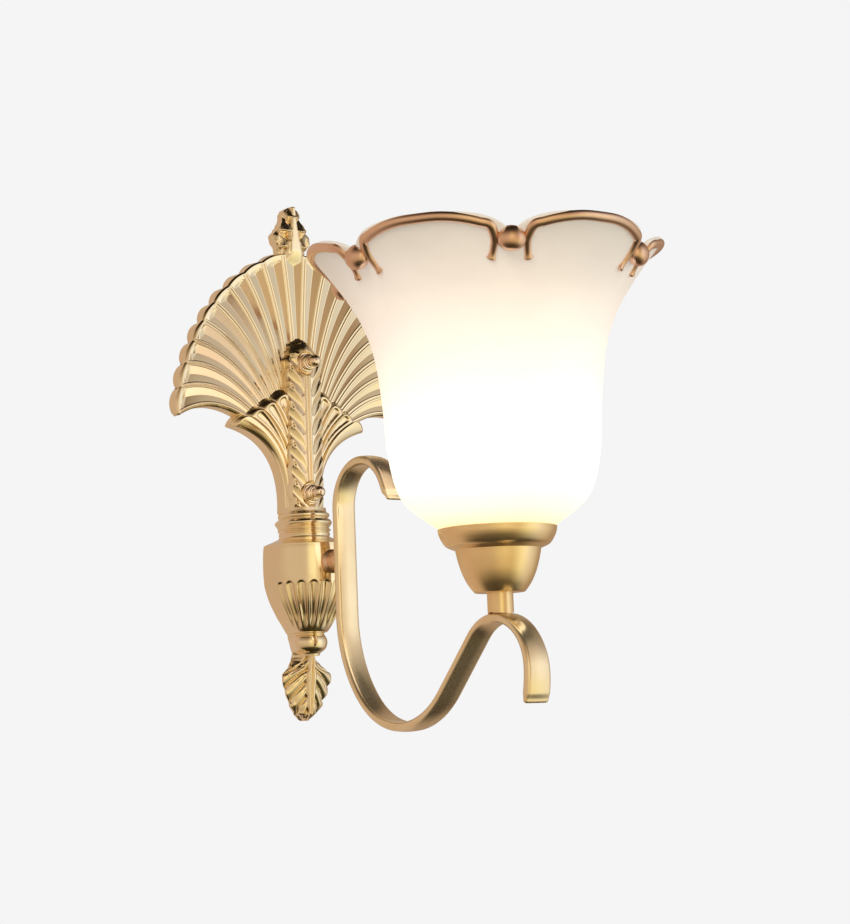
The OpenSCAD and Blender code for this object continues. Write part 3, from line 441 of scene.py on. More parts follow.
# Twin ribs on a ridge: the groove between them, the step beside them, the pitch from which they are
# full, and the length over which they fade at the rim
GROOVE_DEPTH, GROOVE_HALF, GROOVE_SIDE = 0.4, 0.34, 0.22
STEP_DEPTH, STEP_FROM, STEP_SIDE = 0.25, 1.12, 0.25
RIB_PITCH = 4.5
RIB_FADE = 1.5

# End of a flute at the rim: the border beyond it, the length of its rise, and its round corners
FLUTE_BORDER, FLUTE_RISE, FLUTE_CORNER = 1.2, 4.5, 0.8

# Stops on each half flute as shares of its pitch: the ridge takes the first ones
RIDGE = 0.12
FLUTE_PARTS = [RIDGE * k / 9 for k in range(10)] + [0.15, 0.2, 0.27, 0.35, 0.43, 0.48]


def ridge_warp(p, pitch):
    """Moves a share of a flute's pitch so that the ridge keeps its width from the rim to the stem."""
    ridge = min(RIDGE_HALF / pitch, RIDGE_MOST)
    g = min(p, 1 - p)
    g = g / RIDGE * ridge if g < RIDGE else mix(ridge, 0.5, (g - RIDGE) / (0.5 - RIDGE))
    return g if p < 0.5 else 1 - g


def bulge(f):
    """How far a scallop stands out at the share f of its width: 0 at its ends, 1 in the middle."""
    return math.sin(math.pi * clamp(f)) ** 0.7


def fan_swell(v):
    """What the fan has beyond a circle, towards its top, v = 0, and towards its side tips, v = 1."""
    if v < FAN_WAIST:
        return FAN_TOP_EXTRA * (1 - v / FAN_WAIST) ** 2
    return FAN_TIP_EXTRA * ((v - FAN_WAIST) / (1 - FAN_WAIST)) ** 2


def fan_plan(c, s):
    """Place on the fan: c counts flutes from the middle, s runs from the stem to the rim."""
    side, steps = math.copysign(1, c), max(0.0, abs(c) - 0.5)
    v = steps / FAN_FLUTES
    degrees = c * 2 * FAN_GAP if abs(c) < 0.5 else side * (FAN_GAP + (FAN_SPREAD - FAN_GAP) * v)
    x, z = polar(FAN_R + fan_swell(v) + SCALLOP * bulge(frac(c + 0.5)), degrees)
    u = c / (FAN_FLUTES + 0.5)
    stem = [u * (NECK_R - 1.0), FAN_STEM_Z]
    bend = [u * BEND_REACH * FAN_R, BEND_Z + BEND_RISE * (1 - u * u)]
    return bezier(stem, bend, [x, z + FAN_CENTRE_Z], s)


def flute_cut(f, pitch, from_rim):
    """Depth of a V-shaped flute at the share f of its pitch. Near the rim it ends like a spoon."""
    half = pitch / 2 - min(RIDGE_HALF, RIDGE_MOST * pitch)
    q = abs(f - 0.5) * pitch / half
    if q >= 1:
        return 0
    corner = FLUTE_CORNER * half * (1 - (1 - q ** 3) ** (1 / 3))
    end = (from_rim - FLUTE_BORDER - corner) / FLUTE_RISE
    return min(min(FLUTE_DEPTH, FLUTE_SLOPE * half) * (1 - q), FLUTE_DEPTH * ease(end))


def ridge_form(across, pitch):
    """Twin flat ribs on a ridge, at the distance across from its middle."""
    groove = GROOVE_DEPTH * clamp((GROOVE_HALF - across) / GROOVE_SIDE)
    step = STEP_DEPTH * ease((across - STEP_FROM) / STEP_SIDE)
    return -(groove + step) * min(1.0, pitch / RIB_PITCH)


def fan_front(c, s):
    step = 0.02
    pitch = math.dist(fan_plan(c - step, s), fan_plan(c + step, s)) / (2 * step)
    whole, p = divmod(c + 0.5, 1)
    f = ridge_warp(p, pitch)
    c = whole + f - 0.5
    x, z = fan_plan(c, s)
    from_rim = math.dist(fan_plan(c, 1), (x, z))
    ridge = ridge_form(min(f, 1 - f) * pitch, pitch) * ease(from_rim / RIB_FADE)
    return x, FAN_DEPTH + FAN_DISH * (1 - s) + ridge - flute_cut(f, pitch, from_rim), z


def fan_spread(c, s):
    """The side wall is scalloped more than the edge of the front, and leans in between the lobes."""
    return WALL_SCALLOP * bulge(frac(c + 0.5)) - WALL_LEAN if s == 1 else 0


def fan_rear(c, s):
    """Hollow behind the fan, one wall inside the front."""
    reach = math.dist(fan_plan(0, s), fan_plan(FAN_FLUTES + 0.5, s))
    x, z = fan_plan(c * (1 - FAN_WALL / reach), s * 0.976 + 0.01)
    return x, FAN_DEPTH - FLUTE_DEPTH - FAN_WALL, z


def flute_stops(first, last, parts):
    """Stops across flutes at the given shares of each half flute, so that every crease has its own stop."""
    one = parts + [0.5] + [1 - p for p in reversed(parts) if p > 0]
    return [first + k + p for k in range(last - first) for p in one] + [last]


def rim_stops(count):
    """Stops from the stem to the rim, closer together towards the rim."""
    crowding = 1.6
    return [1 - (1 - k / count) ** crowding for k in range(count + 1)]


def make_fan():
    stops = [c - 0.5 for c in flute_stops(-FAN_FLUTES, FAN_FLUTES + 1, FLUTE_PARTS)]
    piece = relief("fan", stops, rim_stops(72), fan_front, 0, edge=1.0, rear=fan_rear, spread=fan_spread)
    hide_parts("backplate")


# Backplate: the small front fan and the stem

SKIRT_LOBES = 4
SKIRT_INNER_X = 10.5
SKIRT_HALF_W = 40
SKIRT_TOP_Z = 19.3
SKIRT_TIP_Z = 1.2
SKIRT_LIFT = 0.9
SKIRT_PROUD = 4
SKIRT_SCALLOP = 2.4
SKIRT_BEND_X, SKIRT_BEND_Z = 8, -6
SKIRT_WALL = 1.8
NOSE, NOSE_FALL, NOSE_BORDER = 2.5, 3.2, 0.6
LOBE_PARTS = [0, 0.02, 0.04, 0.06, 0.09, 0.12, 0.15, 0.18, 0.22, 0.26, 0.31, 0.37, 0.44]

# A lobe's form by the distance from its border: a groove as [depth, width], a round rib as
# [height, middle, half width] and a shallow hollow inside as [depth, start, slope]
LOBE_GROOVE = [1.3, 0.55]
LOBE_RIB = [0.75, 1.25, 0.8]
LOBE_HOLLOW = [0.9, 1.9, 0.3]

# The outermost lobe is a round roll: [height, middle and half width as shares of the lobe, sink]
OUTER_ROLL = [1.9, 0.42, 0.6, 0.7]


def skirt_plan(u, s):
    """Place on the front fan: u runs across from -1 to 1, s from the stem to the rim."""
    v = abs(u) ** 0.92
    x = math.copysign(mix(SKIRT_INNER_X, SKIRT_HALF_W, v), u)
    z = mix(SKIRT_TOP_Z, SKIRT_TIP_Z, v) + SKIRT_SCALLOP * bulge(frac(abs(u) * SKIRT_LOBES))
    return bezier([u * (NECK_R - 2), NECK_TOP_Z - 1], [u * SKIRT_BEND_X, SKIRT_BEND_Z], [x, z], s)


def lobe_groove(e):
    """Depth of the groove along a lobe's border, at the distance e from it."""
    depth, width = LOBE_GROOVE
    return depth * clamp(1 - e / width)


def lobe_form(e):
    """Height of a lobe at the distance e from its border."""
    height, middle, half = LOBE_RIB
    depth, start, slope = LOBE_HOLLOW
    return height * round_rib(e, middle, half) - lobe_groove(e) - min(depth, slope * max(0.0, e - start))


def skirt_front(u, s):
    """Each lobe has a rib that loops round its tip, with a hollow inside, and a nose that faces up."""
    v = abs(u)
    f = frac(v * SKIRT_LOBES)
    x, z = skirt_plan(u, s)
    step = 0.004
    pitch = math.dist(skirt_plan(u - step, s), skirt_plan(u + step, s)) / (2 * step) / SKIRT_LOBES
    from_tip = math.dist(skirt_plan(u, 1), (x, z))
    from_side = min(f, 1 - f) * pitch + 0.01
    from_nose = max(from_tip - NOSE, 0.0) + NOSE_BORDER
    form = lobe_form((from_side ** -3 + from_nose ** -3) ** (-1 / 3))
    if v * SKIRT_LOBES > SKIRT_LOBES - 1:
        height, middle, half, sink = OUTER_ROLL
        form = height * round_rib(f, middle, half) - lobe_groove(f * pitch) - sink
    proud = SKIRT_PROUD * (1 - 0.8 * v * v) * (0.35 + 0.65 * s)
    fall = NOSE_FALL * clamp(1 - from_tip / NOSE) ** 1.25
    return x, FAN_DEPTH + SKIRT_LIFT + proud + form * min(1.0, pitch / 3) - fall, z


def skirt_rear(u, s):
    x, z = skirt_plan(u * 0.93, 0.01 + 0.96 * s)
    return x, FAN_DEPTH - SKIRT_WALL, z


def make_skirt():
    us = [c / SKIRT_LOBES for c in flute_stops(-SKIRT_LOBES, SKIRT_LOBES, LOBE_PARTS)]
    piece = relief("front_fan", us, rim_stops(90), skirt_front, 0, rear=skirt_rear)
    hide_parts("backplate")


# Backplate: the central leaf

LEAF_FOOT_Z = -42.5
LEAF_TOP_Z = 47.2
LEAF_DEPTH = 16.2
LEAF_CROWN = 1.6
LEAF_FLARE = 1.14
LEAF_WIDTHS = [[8.2, 0], [8.8, 0.1], [9.3, 0.35], [9.6, 0.7], [9.4, 0.86], [7.0, 0.91], [6.0, 0.95],
               [3.0, 1.0]]
LEAFLETS = 9
LEAFLET_SLOPE = 1.5
LEAFLET_DEPTH = 1.8
LEAFLET_SCALLOP = 0.03
LEAF_RIB, LEAF_RIB_GROOVE = 0.9, 0.3
EYE_DEPTH, EYE_U = 1.5, -0.92
HOOD_FROM = 0.9
HOOD_LIFT, HOOD_SIDES, HOOD_FALL = 0.4, 2.4, 8.6
NUT_SPACING = 67.6
NUT_SEAT_R = 5.3
NUT_SEAT_DEPTH = 14.95
NUT_SEAT_WALL = 3


def width_at(widths, v):
    """Half width at the share v of a length, from a list of [half width, share]."""
    for (w0, v0), (w1, v1) in zip(widths, widths[1:]):
        if v <= v1:
            return mix(w0, w1, ease((v - v0) / (v1 - v0)))
    return widths[-1][0]


def leaflet_cut(a, f):
    """Depth of a blade's hollow at the share f of its pitch.

    It opens and deepens from the midrib, a = 0, and narrows again at the edge, a = 1."""
    half = 0.44 * ease((a - 0.12) / 0.3) * (1 - 0.25 * ease((a - 0.7) / 0.3))
    q = abs(f - 0.5) / max(half, 1e-6)
    return LEAFLET_DEPTH * clamp((a - 0.16) / 0.8) ** 0.9 * (1 - q * q) if q < 1 else 0


def leaf_front(u, v):
    """Blades slope from a grooved midrib, and a plain hood closes the top.

    Round the two nuts the leaf is cut flat. Small eyes mark its left edge between the blades."""
    a = abs(u)
    f = frac(v * LEAFLETS - LEAFLET_SLOPE * a ** 0.65)
    fade = ease((HOOD_FROM + 0.01 - v) / 0.02)
    wave = 1 + math.cos(2 * math.pi * (v * LEAFLETS - LEAFLET_SLOPE))
    w = width_at(LEAF_WIDTHS, v) * (1 - LEAFLET_SCALLOP * wave * fade)
    crown = LEAF_DEPTH - LEAF_CROWN * a ** 2
    rib = LEAF_RIB * round_rib(a, 0.1, 0.09) - LEAF_RIB_GROOVE * hill(a, 0, 0.03)
    eye = EYE_DEPTH * hill(u, EYE_U, 0.04) * (hill(f, 0, 0.07) + hill(f, 1, 0.07))
    depth = crown + (rib - leaflet_cut(a, f) - eye) * fade
    dome = clamp((v - HOOD_FROM) / (1 - HOOD_FROM))
    fall = HOOD_FALL * (1 - math.sqrt(1 - 0.97 * dome ** 1.8))
    depth += (HOOD_LIFT - HOOD_SIDES * a * a) * ease(dome * 5) - fall
    z = mix(LEAF_FOOT_Z, LEAF_TOP_Z, v)
    from_nut = math.hypot(u * w, abs(z) - NUT_SPACING / 2)
    seat = NUT_SEAT_DEPTH + NUT_SEAT_WALL * ease((from_nut - NUT_SEAT_R) / 2)
    return u * w, min(depth, seat), z


def make_central_leaf():
    us = [k / 38 for k in range(-38, 39)]
    vs = [k / 300 for k in range(301)]
    piece = relief("central_leaf", us, vs, leaf_front, FAN_DEPTH - 2, taper=LEAF_FLARE)
    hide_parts("backplate")


# Backplate: the finial

FINIAL_FOOT_Z = 77
FINIAL_TOP_Z = 117
FINIAL_WIDTHS = [[6.0, 0], [7.0, 0.32], [8.0, 0.47], [10.2, 0.56], [10.6, 0.62], [8.2, 0.7], [6.6, 0.75],
                 [5.0, 0.835], [4.6, 0.86], [4.6, 0.91], [3.6, 0.96], [1.4, 1.0]]
FINIAL_RIB = [[5.8, 0], [5.7, 0.36], [4.9, 0.52], [3.4, 0.65], [2.3, 0.75], [1.7, 0.87], [1.3, 1.0]]
FINIAL_BASE = FAN_DEPTH - 1.8
FINIAL_PROUD, FINIAL_TOP_PROUD = 4.4, 2.8
FINIAL_RISE_Z, FINIAL_RISE = 84, 11
FINIAL_BORDER = 0.8

# Hollows beside the finial's rib: a round scoop, and a slit that leans out from SLIT_X at SLIT_Z
SCOOP_DEPTH, SCOOP_X, SCOOP_Z = 2.0, 8.0, 97.6
SLIT_DEPTH, SLIT_X, SLIT_Z, SLIT_LEAN = 1.2, 2.9, 98, 0.12
SLIT_LOW_Z, SLIT_HIGH_Z = 99, 105

# Carved scales: [distance to the side, height of the lower end, half width, length, how far they stand out]
FINIAL_SCALES = [[7.0, 95.2, 3.9, 9.4, 3.8], [4.2, 103.4, 4.2, 8.6, 4.8], [0, 111.0, 4.6, 7.0, 4.0]]


def scale_form(x, z, spec):
    """A scale that rises towards its lower end and drops there."""
    cx, foot, half_w, length, out = spec
    q, t = (x - cx) / half_w, (z - foot) / length
    if abs(q) >= 1 or not 0 < t < 1:
        return 0
    t = clamp((t - 0.12 * q * q) / (1 - 0.12 * q * q))
    return out * math.sqrt(1 - q * q) * (1 - t) * math.sqrt(1 - (1 - clamp(t / 0.14)) ** 2)


def finial_front(u, v):
    """A rib rises out of the fan up to the tip, with scales, scoops and slits beside it."""
    a = abs(u)
    x = a * width_at(FINIAL_WIDTHS, v)
    z = mix(FINIAL_FOOT_Z, FINIAL_TOP_Z, v)
    proud = mix(FINIAL_PROUD, FINIAL_TOP_PROUD, v) * ease((z - FINIAL_RISE_Z) / FINIAL_RISE)
    rib_w = width_at(FINIAL_RIB, v)
    rib = proud * (1 - (x / rib_w) ** 5) ** 0.6 if x < rib_w else 0
    scoop = SCOOP_DEPTH * hill(x, SCOOP_X, 1.1) * hill(z, SCOOP_Z, 2.6)
    slit = SLIT_DEPTH * hill(x, SLIT_X + SLIT_LEAN * (z - SLIT_Z), 0.4)
    slit *= ease((z - SLIT_LOW_Z) / 1.2) * ease((SLIT_HIGH_Z - z) / 3)
    high = max([rib] + [scale_form(x, z, spec) for spec in FINIAL_SCALES])
    border = FINIAL_BORDER * ease((a - 0.86) / 0.14)
    return math.copysign(x, u), FINIAL_BASE + high - scoop - slit - border, z


def make_finial():
    us = [k / 36 for k in range(-36, 37)]
    vs = [k / 160 for k in range(161)]
    piece = relief("finial", us, vs, finial_front, 0, edge=0.6, sharp=70)
    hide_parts("backplate")


# Backplate: vase with its neck rings, flutes and bead

VASE_R = 20.3
VASE_FLAT = 13.1
VASE_TOP_Z = -57
VASE_FOOT_Z = -104.5
VASE_H = VASE_TOP_Z - VASE_FOOT_Z
VASE_FLUTES = 10
VASE_FLUTE_SHARE = 0.37
VASE_FLUTE_DEPTH = 1.7
VASE_SPAN = 186
VASE_HOLLOW = 0.88
BEAD_R = 8.8
FLUTE_TOP_Z = -78.9

# Rows of the vase from its bead up: [height, radius of the front, depth of that radius's centre, half
# width at the wall]. The bead and foot count heights from VASE_FOOT_Z. The neck rings count them from
# VASE_TOP_Z, and their widths from NECK_R
FOOT_ROWS = [
    [-12, 4.6, 10.4, 4.4], [-10.6, 5.2, 10.4, 4.5], [-9.6, BEAD_R - 2.2, 10.5, 4.8],
    [-8, BEAD_R - 0.7, 10.5, 5.4], [-5.4, BEAD_R, 10.5, 6], [-3, BEAD_R - 0.5, 10.6, 6.7],
    [-1.4, BEAD_R - 1.6, 10.8, 7], [-0.6, BEAD_R - 1.7, 11, 7.2], [0.4, 9.0, 11.2, 8],
    [4.6, 11.5, 11.8, 10.7], [8.4, 13.6, 12.2, 13.2], [15.9, 17.4, 12.8, 17.2]]
BODY_ROWS = [
    [FLUTE_TOP_Z - 2.6, VASE_R - 0.6, VASE_FLAT, VASE_R - 0.7],
    [FLUTE_TOP_Z + 0.4, VASE_R - 0.25, VASE_FLAT, VASE_R - 0.3],
    [VASE_TOP_Z - 16.7, VASE_R, VASE_FLAT, VASE_R], [VASE_TOP_Z - 9, VASE_R, VASE_FLAT, VASE_R - 0.1],
    [VASE_TOP_Z - 3.8, VASE_R - 0.4, VASE_FLAT, VASE_R - 0.6],
    [VASE_TOP_Z - 2.7, VASE_R - 1.1, 13, VASE_R - 1.4]]
NECK_ROWS = [
    [0.2, 0.8, 10.8, -0.8], [1, -0.4, 10.3, -1.9], [1.6, -0.5, 10.2, -2.2], [2.8, -0.1, 10, -2],
    [3.5, -0.7, 10, -2.3], [4.6, 0.3, 10, -1.5], [5.7, -0.6, 10, -1.6], [6.6, 0, 10, -1],
    [8.4, 1, 10, 0.2], [10, 0.1, 9.9, -1.2], [10.7, -1, 9.8, -2.2], [11.8, -0.1, 9.8, -1.8],
    [13, -0.2, 9.7, -2], [13.8, -1.2, 9.4, -2.5], [16, -1.4, 9, -2.4]]
VASE_ROWS = [[VASE_FOOT_Z + h, r, depth, wall] for h, r, depth, wall in FOOT_ROWS] + BODY_ROWS
VASE_ROWS += [[VASE_TOP_Z + h, NECK_R + r, depth, NECK_R + wall] for h, r, depth, wall in NECK_ROWS]


def vase_cut(degrees, z):
    """Depth of the vase's flutes: round hollows with round tops and plain ridges between them."""
    pitch_degrees = VASE_SPAN / VASE_FLUTES
    q = abs(frac((degrees + VASE_SPAN / 2) / pitch_degrees) - 0.5) / VASE_FLUTE_SHARE
    if q >= 1:
        return 0
    rise = ease((z - VASE_FOOT_Z - 0.5) / 9)
    half = math.radians(pitch_degrees) * VASE_R * VASE_FLUTE_SHARE
    from_top = FLUTE_TOP_Z - half * (1 - math.sqrt(1 - q * q)) - z
    return VASE_FLUTE_DEPTH * (1 - q * q) ** 0.6 * rise * ease(from_top / 0.9)


def vase_ring(z, r, centre, wall):
    """Half a turn in plan: a side from the wall, the round front, and the other side."""
    side = [[mix(wall, r, k / 4), -centre * k / 4] for k in range(4)]
    ring = [[-x, y] for x, y in side]
    steps = VASE_FLUTES * 14
    for k in range(steps + 1):
        degrees = -VASE_SPAN / 2 + VASE_SPAN * k / steps
        x, y = polar(r - vase_cut(degrees, z), degrees)
        ring.append([x, -centre - y])
    return ring + side[::-1]


def make_vase():
    """Each ring goes round the front and back along the hollow inside, which ends below and above."""
    low, high = VASE_FOOT_Z + 0.14 * VASE_H, VASE_TOP_Z + 10
    stations = []
    for z, r, centre, wall in smooth_line(VASE_ROWS, 8):
        outer = vase_ring(z, r, centre, wall)
        keep = VASE_HOLLOW * ease((z - low) / 3) * ease((high - z) / 3)
        inner = [[x * keep, y * keep] for x, y in reversed(outer)]
        stations.append([[x, y, z] for x, y in outer + inner])
    piece = sweep("vase", stations, "cast_gold")
    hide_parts("backplate")


# Backplate: the bottom leaf

DROP_TOP_Z = VASE_FOOT_Z - 9
DROP_TIP_Z = -148.6
DROP_WIDTHS = [[4.6, 0], [6.0, 0.08], [6.8, 0.14], [8.6, 0.22], [13.8, 0.36], [13.6, 0.45], [11.8, 0.6],
               [9.2, 0.77], [6.2, 0.9], [3.4, 0.97], [1.4, 1.0]]
DROP_TAPER = 0.76
DROP_LOBES = 5
DROP_SLOPE = 1.6
DROP_TOP_DEPTH, DROP_TIP_DEPTH, DROP_LEAST_DEPTH = 12.4, 8.6, 2.0
DROP_SIDES, DROP_NECK_SIDES, DROP_TIP_FALL = 3.6, 4.5, 3.0
DROP_RIB, DROP_RIB_GROOVE = 1.3, 0.5
DROP_GROOVE, DROP_CREASE = 2.1, 0.4


def drop_front(u, v):
    """The leaf hangs down: its lobes, round ribs between grooves, run out and down from a twin midrib."""
    a = abs(u)
    f = frac(v * DROP_LOBES - DROP_SLOPE * a)
    neck = 1 - ease((v - 0.1) / 0.24)
    leafy = ease((v - 0.03) / 0.08) * ease((0.98 - v) / 0.05) * (1 - neck * ease((a - 0.4) / 0.2))
    w = width_at(DROP_WIDTHS, v) * (1 + 0.05 * (math.sin(math.pi * f) ** 0.5 - 0.6) * leafy)
    crown = mix(DROP_TOP_DEPTH, DROP_TIP_DEPTH, v) - (DROP_SIDES + DROP_NECK_SIDES * neck) * a ** 1.7
    crown -= DROP_TIP_FALL * ease((v - 0.9) / 0.1) ** 2
    midrib = DROP_RIB * round_rib(a, 0.1, 0.1) - DROP_RIB_GROOVE * hill(a, 0, 0.03)
    window = ease((a - 0.16) / 0.08) * leafy
    lobe = DROP_GROOVE * abs(math.sin(math.pi * f)) ** 0.6 - DROP_GROOVE
    crease = DROP_CREASE * hill(f, 0.42, 0.09) * ease((a - 0.3) / 0.2) * ease((0.9 - a) / 0.1)
    depth = max(DROP_LEAST_DEPTH, crown + midrib + (lobe - crease) * window)
    return u * w, depth, mix(DROP_TOP_Z, DROP_TIP_Z, v)


def make_bottom_leaf():
    us = [k / 36 for k in range(-36, 37)]
    vs = [k / 150 for k in range(151)]
    piece = relief("bottom_leaf", us, vs, drop_front, 0, edge=0.6, taper=DROP_TAPER)
    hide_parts("backplate")


# Cap nuts and collar

NUT_HALF_W = 4.5
NUT_BALL_R = 3.2
NUT_BALL_OUT = 8.6

# Rings of a cap nut from its seat to its ball, and the groove beyond each, as [radius, height]
NUT_RINGS = [
    [[4.4, 0], [4.8, 0.3], [4.8, 1.7], [4.4, 2.0]],
    [[4.0, 2.8], [4.2, 3.3], [4.2, 4.1], [3.8, 4.6]],
    [[3.3, 5.2], [3.5, 5.5], [3.4, 5.9], [2.4, 6.2]]]
NUT_GROOVES = [[[3.4, 2.2], [3.4, 2.6]], [[2.9, 4.8], [2.9, 5.1]], []]


def make_cap_nuts():
    low, high = box_mm("cap_nuts")
    profile = [[0.0, 0]]
    for ring, groove in zip(NUT_RINGS, NUT_GROOVES):
        profile += smooth_line(ring, 3) + groove
    profile += [[r, h + NUT_BALL_OUT] for r, h in (polar(NUT_BALL_R, a) for a in range(138, -1, -6))]
    for name, z in (("cap_nut_low", low[2] + NUT_HALF_W), ("cap_nut_high", high[2] - NUT_HALF_W)):
        piece = lathe(name, profile, (0, high[1], z), "copper_gold", facing_room=True, sharp=40,
                      look="bright_copper")
        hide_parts("cap_nuts")


# Half of the collar's profile up to its waist, as [how far inside its radius, how far from its end]
COLLAR_HALF = [[0.5, 0], [0, 0.4], [0, 1.3], [0.5, 1.9], [1, 2.6]]
COLLAR_WAIST = 1.1
COLLAR_BORE_R = 4.1


def make_collar():
    low, high = box_mm("collar")
    length, r = high[1] - low[1], (high[2] - low[2]) / 2
    near = [[r - inset, h] for inset, h in COLLAR_HALF]
    far = [[r - inset, length - h] for inset, h in reversed(COLLAR_HALF)]
    outer = smooth_line(near + [[r - COLLAR_WAIST, length / 2]] + far, 5)
    profile = [[COLLAR_BORE_R, 0]] + outer + [[COLLAR_BORE_R, length]]
    place = (0, high[1], (low[2] + high[2]) / 2)
    piece = lathe("collar_ring", profile, place, "copper_gold", facing_room=True)
    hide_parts("collar")


# Arm: one bent oval tube with pressed tips

ARM_W = 12.5
ARM_T = 4.98
ARM_FIX_Z = -70
COLLAR_LENGTH = 10
LEG_DEPTH = VASE_FLAT + VASE_R + COLLAR_LENGTH + ARM_T / 2
CURL_RISE, CURL_R, CURL_ANGLE, CURL_END = 25, 22, 155, 5
LEG, RISE, RISE_SLOPE = 27.7, 35.8, 45
HOOK_R = 25
TAIL_R, TAIL_ANGLE = 45, 12
BOWL = [[62, 44], [45, 54], [50, 90 + RISE_SLOPE - 44 - 54]]

# The arm down and up from its fixing, as runs of [side that it bends to, length or radius, angle]
ARM_RUNS = [[0, LEG, 0]] + [[1, r, a] for r, a in BOWL]
ARM_RUNS += [[0, RISE, 0], [-1, HOOK_R, 90 + RISE_SLOPE], [-1, TAIL_R, TAIL_ANGLE]]
CURL_RUNS = [[0, CURL_RISE, 0], [-1, CURL_R, CURL_ANGLE], [0, CURL_END, 0]]

# How much the arm widens along its last stations, and its pressed tips: [how much narrower, share of ARM_T]
TAIL_FLARE, TAIL_STEPS = 1.6, 14
TIP_LEN, TIP_CORNER = 5, 2.2
CURL_TIP, TAIL_TIP = [2.4, 0.45], [0.6, 0.6]


def after(p, run):
    """Where a run of the arm ends, from p as [depth, height, heading]."""
    a = math.radians(p[2])
    side, size, angle = run
    if side == 0:
        return [p[0] + size * math.cos(a), p[1] + size * math.sin(a), p[2]]
    b = a + side * math.radians(angle)
    depth = p[0] + side * size * (math.sin(b) - math.sin(a))
    return [depth, p[1] - side * size * (math.cos(b) - math.cos(a)), p[2] + side * angle]


def centre_line(p, runs, step=2.0):
    line = []
    for side, size, angle in runs:
        length = size if side == 0 else size * math.radians(angle)
        count = max(2, int(length / step))
        for k in range(1, count + 1):
            t = k / count
            line.append(after(p, [side, size * t, 0] if side == 0 else [side, size, angle * t]))
        p = line[-1]
    return line


def arm_section(w, t):
    """Oval section with round sides and slightly crowned faces, as [across, thick]."""
    side_r = t * 0.44
    flat = w / 2 - side_r
    steps = 14
    half = [[flat + side_r * y, side_r * x] for x, y in (polar(1, a) for a in range(-90, 91, 12))]
    for k in range(1, steps):
        crown = (t / 2 - side_r) * math.sin(math.pi * k / steps)
        half.append([mix(flat, -flat, k / steps), side_r + crown])
    return half + [[-x, -y] for x, y in half]


def arm_ring(p, w, t):
    a = math.radians(p[2])
    return [[x, y * math.sin(a) - p[0], p[1] + y * math.cos(a)] for x, y in arm_section(w, t)]


def arm_tip(end, sign, full, tip):
    """Rings of a tip that is pressed flat, beyond one end of the arm, where it has its full width."""
    narrower, thin = tip
    rings = []
    for k in range(1, 13):
        s = k / 12
        press = ease(s * 1.4)
        corner = math.sqrt(max(0.0, 1 - max(0.0, (s - 0.72) / 0.28) ** 2))
        w = mix(full, full - narrower, press) - TIP_CORNER * (1 - corner)
        t = mix(ARM_T, ARM_T * thin, press) * (0.35 + 0.65 * corner)
        rings.append(arm_ring(after(end, [0, sign * TIP_LEN * s, 0]), w, t))
    return rings


def make_arm():
    curl = centre_line([LEG_DEPTH, ARM_FIX_Z, 90], CURL_RUNS)
    body = [[d, z, h - 180] for d, z, h in reversed(curl)] + [[LEG_DEPTH, ARM_FIX_Z, -90]]
    body += centre_line([LEG_DEPTH, ARM_FIX_Z, -90], ARM_RUNS)
    from_tail = [(k - len(body) + 1) / TAIL_STEPS + 1 for k in range(len(body))]
    middle = [arm_ring(p, ARM_W + TAIL_FLARE * ease(t), ARM_T) for p, t in zip(body, from_tail)]
    curl_tip = arm_tip(body[0], -1, ARM_W, CURL_TIP)
    tail_tip = arm_tip(body[-1], 1, ARM_W + TAIL_FLARE, TAIL_TIP)
    piece = sweep("bent_arm", curl_tip[::-1] + middle + tail_tip, "satin_gold")
    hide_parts("arm")


# Cup: turned and brushed

CUP_FOOT_R = 11.9
CUP_WAIST_R = 19.8
CUP_WALL = 0.9
CUP_ROLL_H = 9
CUP_BORE_R = 4.3


def make_cup():
    low, high = box_mm("cup")
    axis = (0, (low[1] + high[1]) / 2, low[2])
    h, rim = high[2] - low[2], (high[0] - low[0]) / 2
    foot, waist, band = CUP_FOOT_R, CUP_WAIST_R, h - CUP_ROLL_H
    body = smooth_line([
        [foot - 0.8, 0.1], [foot, 0.5], [foot + 2.7, 4.2], [foot + 5, 9], [waist - 1.2, 14.5],
        [waist - 0.35, band - 2.2], [waist - 0.1, band - 1.0]], 6)
    roll = smooth_line([
        [waist + 0.1, band - 0.7], [waist + 1.8, band - 0.1], [waist + 4.2, band + 1.2],
        [rim - 1.7, band + 3.6], [rim - 0.5, band + 6.2], [rim - 0.1, h - 0.8], [rim, h - 0.2]], 6)
    outer = body + roll
    inner = [[max(r - CUP_WALL, CUP_BORE_R), max(z, CUP_WALL)] for r, z in reversed(outer)]
    profile = [[CUP_BORE_R, 0]] + outer + [[rim - CUP_WALL / 2, h]] + inner + [[CUP_BORE_R, CUP_WALL]]
    piece = lathe("turned_cup", profile, axis, "brushed_brass", sides=160)
    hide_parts("cup")


# Shade: smooth lobed bell with copper trim and beads

SKIRT_R = 19.8
BELLY_R = 50
SHADE_H = 120
BEAD_RING_R = 72.5
GLASS_T = 3.2
RIM_T = 1.3
SHADE_LOBES = 6
LOBE_ANGLE = 360 / SHADE_LOBES
SHADE_TURN = 2
LOBE_OUT, LOBE_UP = 9.0, 10

# Profile of the glass between two lobes from foot to rim, as [radius, height]
SHADE_LINE = [
    [SKIRT_R + 1, 0], [SKIRT_R + 4.6, 0], [SKIRT_R + 9, 2.2], [BELLY_R - 7, 14.5], [BELLY_R - 1.4, 34],
    [BELLY_R + 0.4, 58], [BELLY_R + 3, 79], [BELLY_R + 7.6, SHADE_H - 25],
    [BELLY_R + 14.4, SHADE_H - 11.5], [BEAD_RING_R, SHADE_H]]
SHADE_LAST = len(SHADE_LINE) - 1
SHADE_SEAT_Z = LOW_SHADE[2]
LAMP_DEPTH = -sum(box_mm("neck_tube")[k][1] for k in (0, 1)) / 2


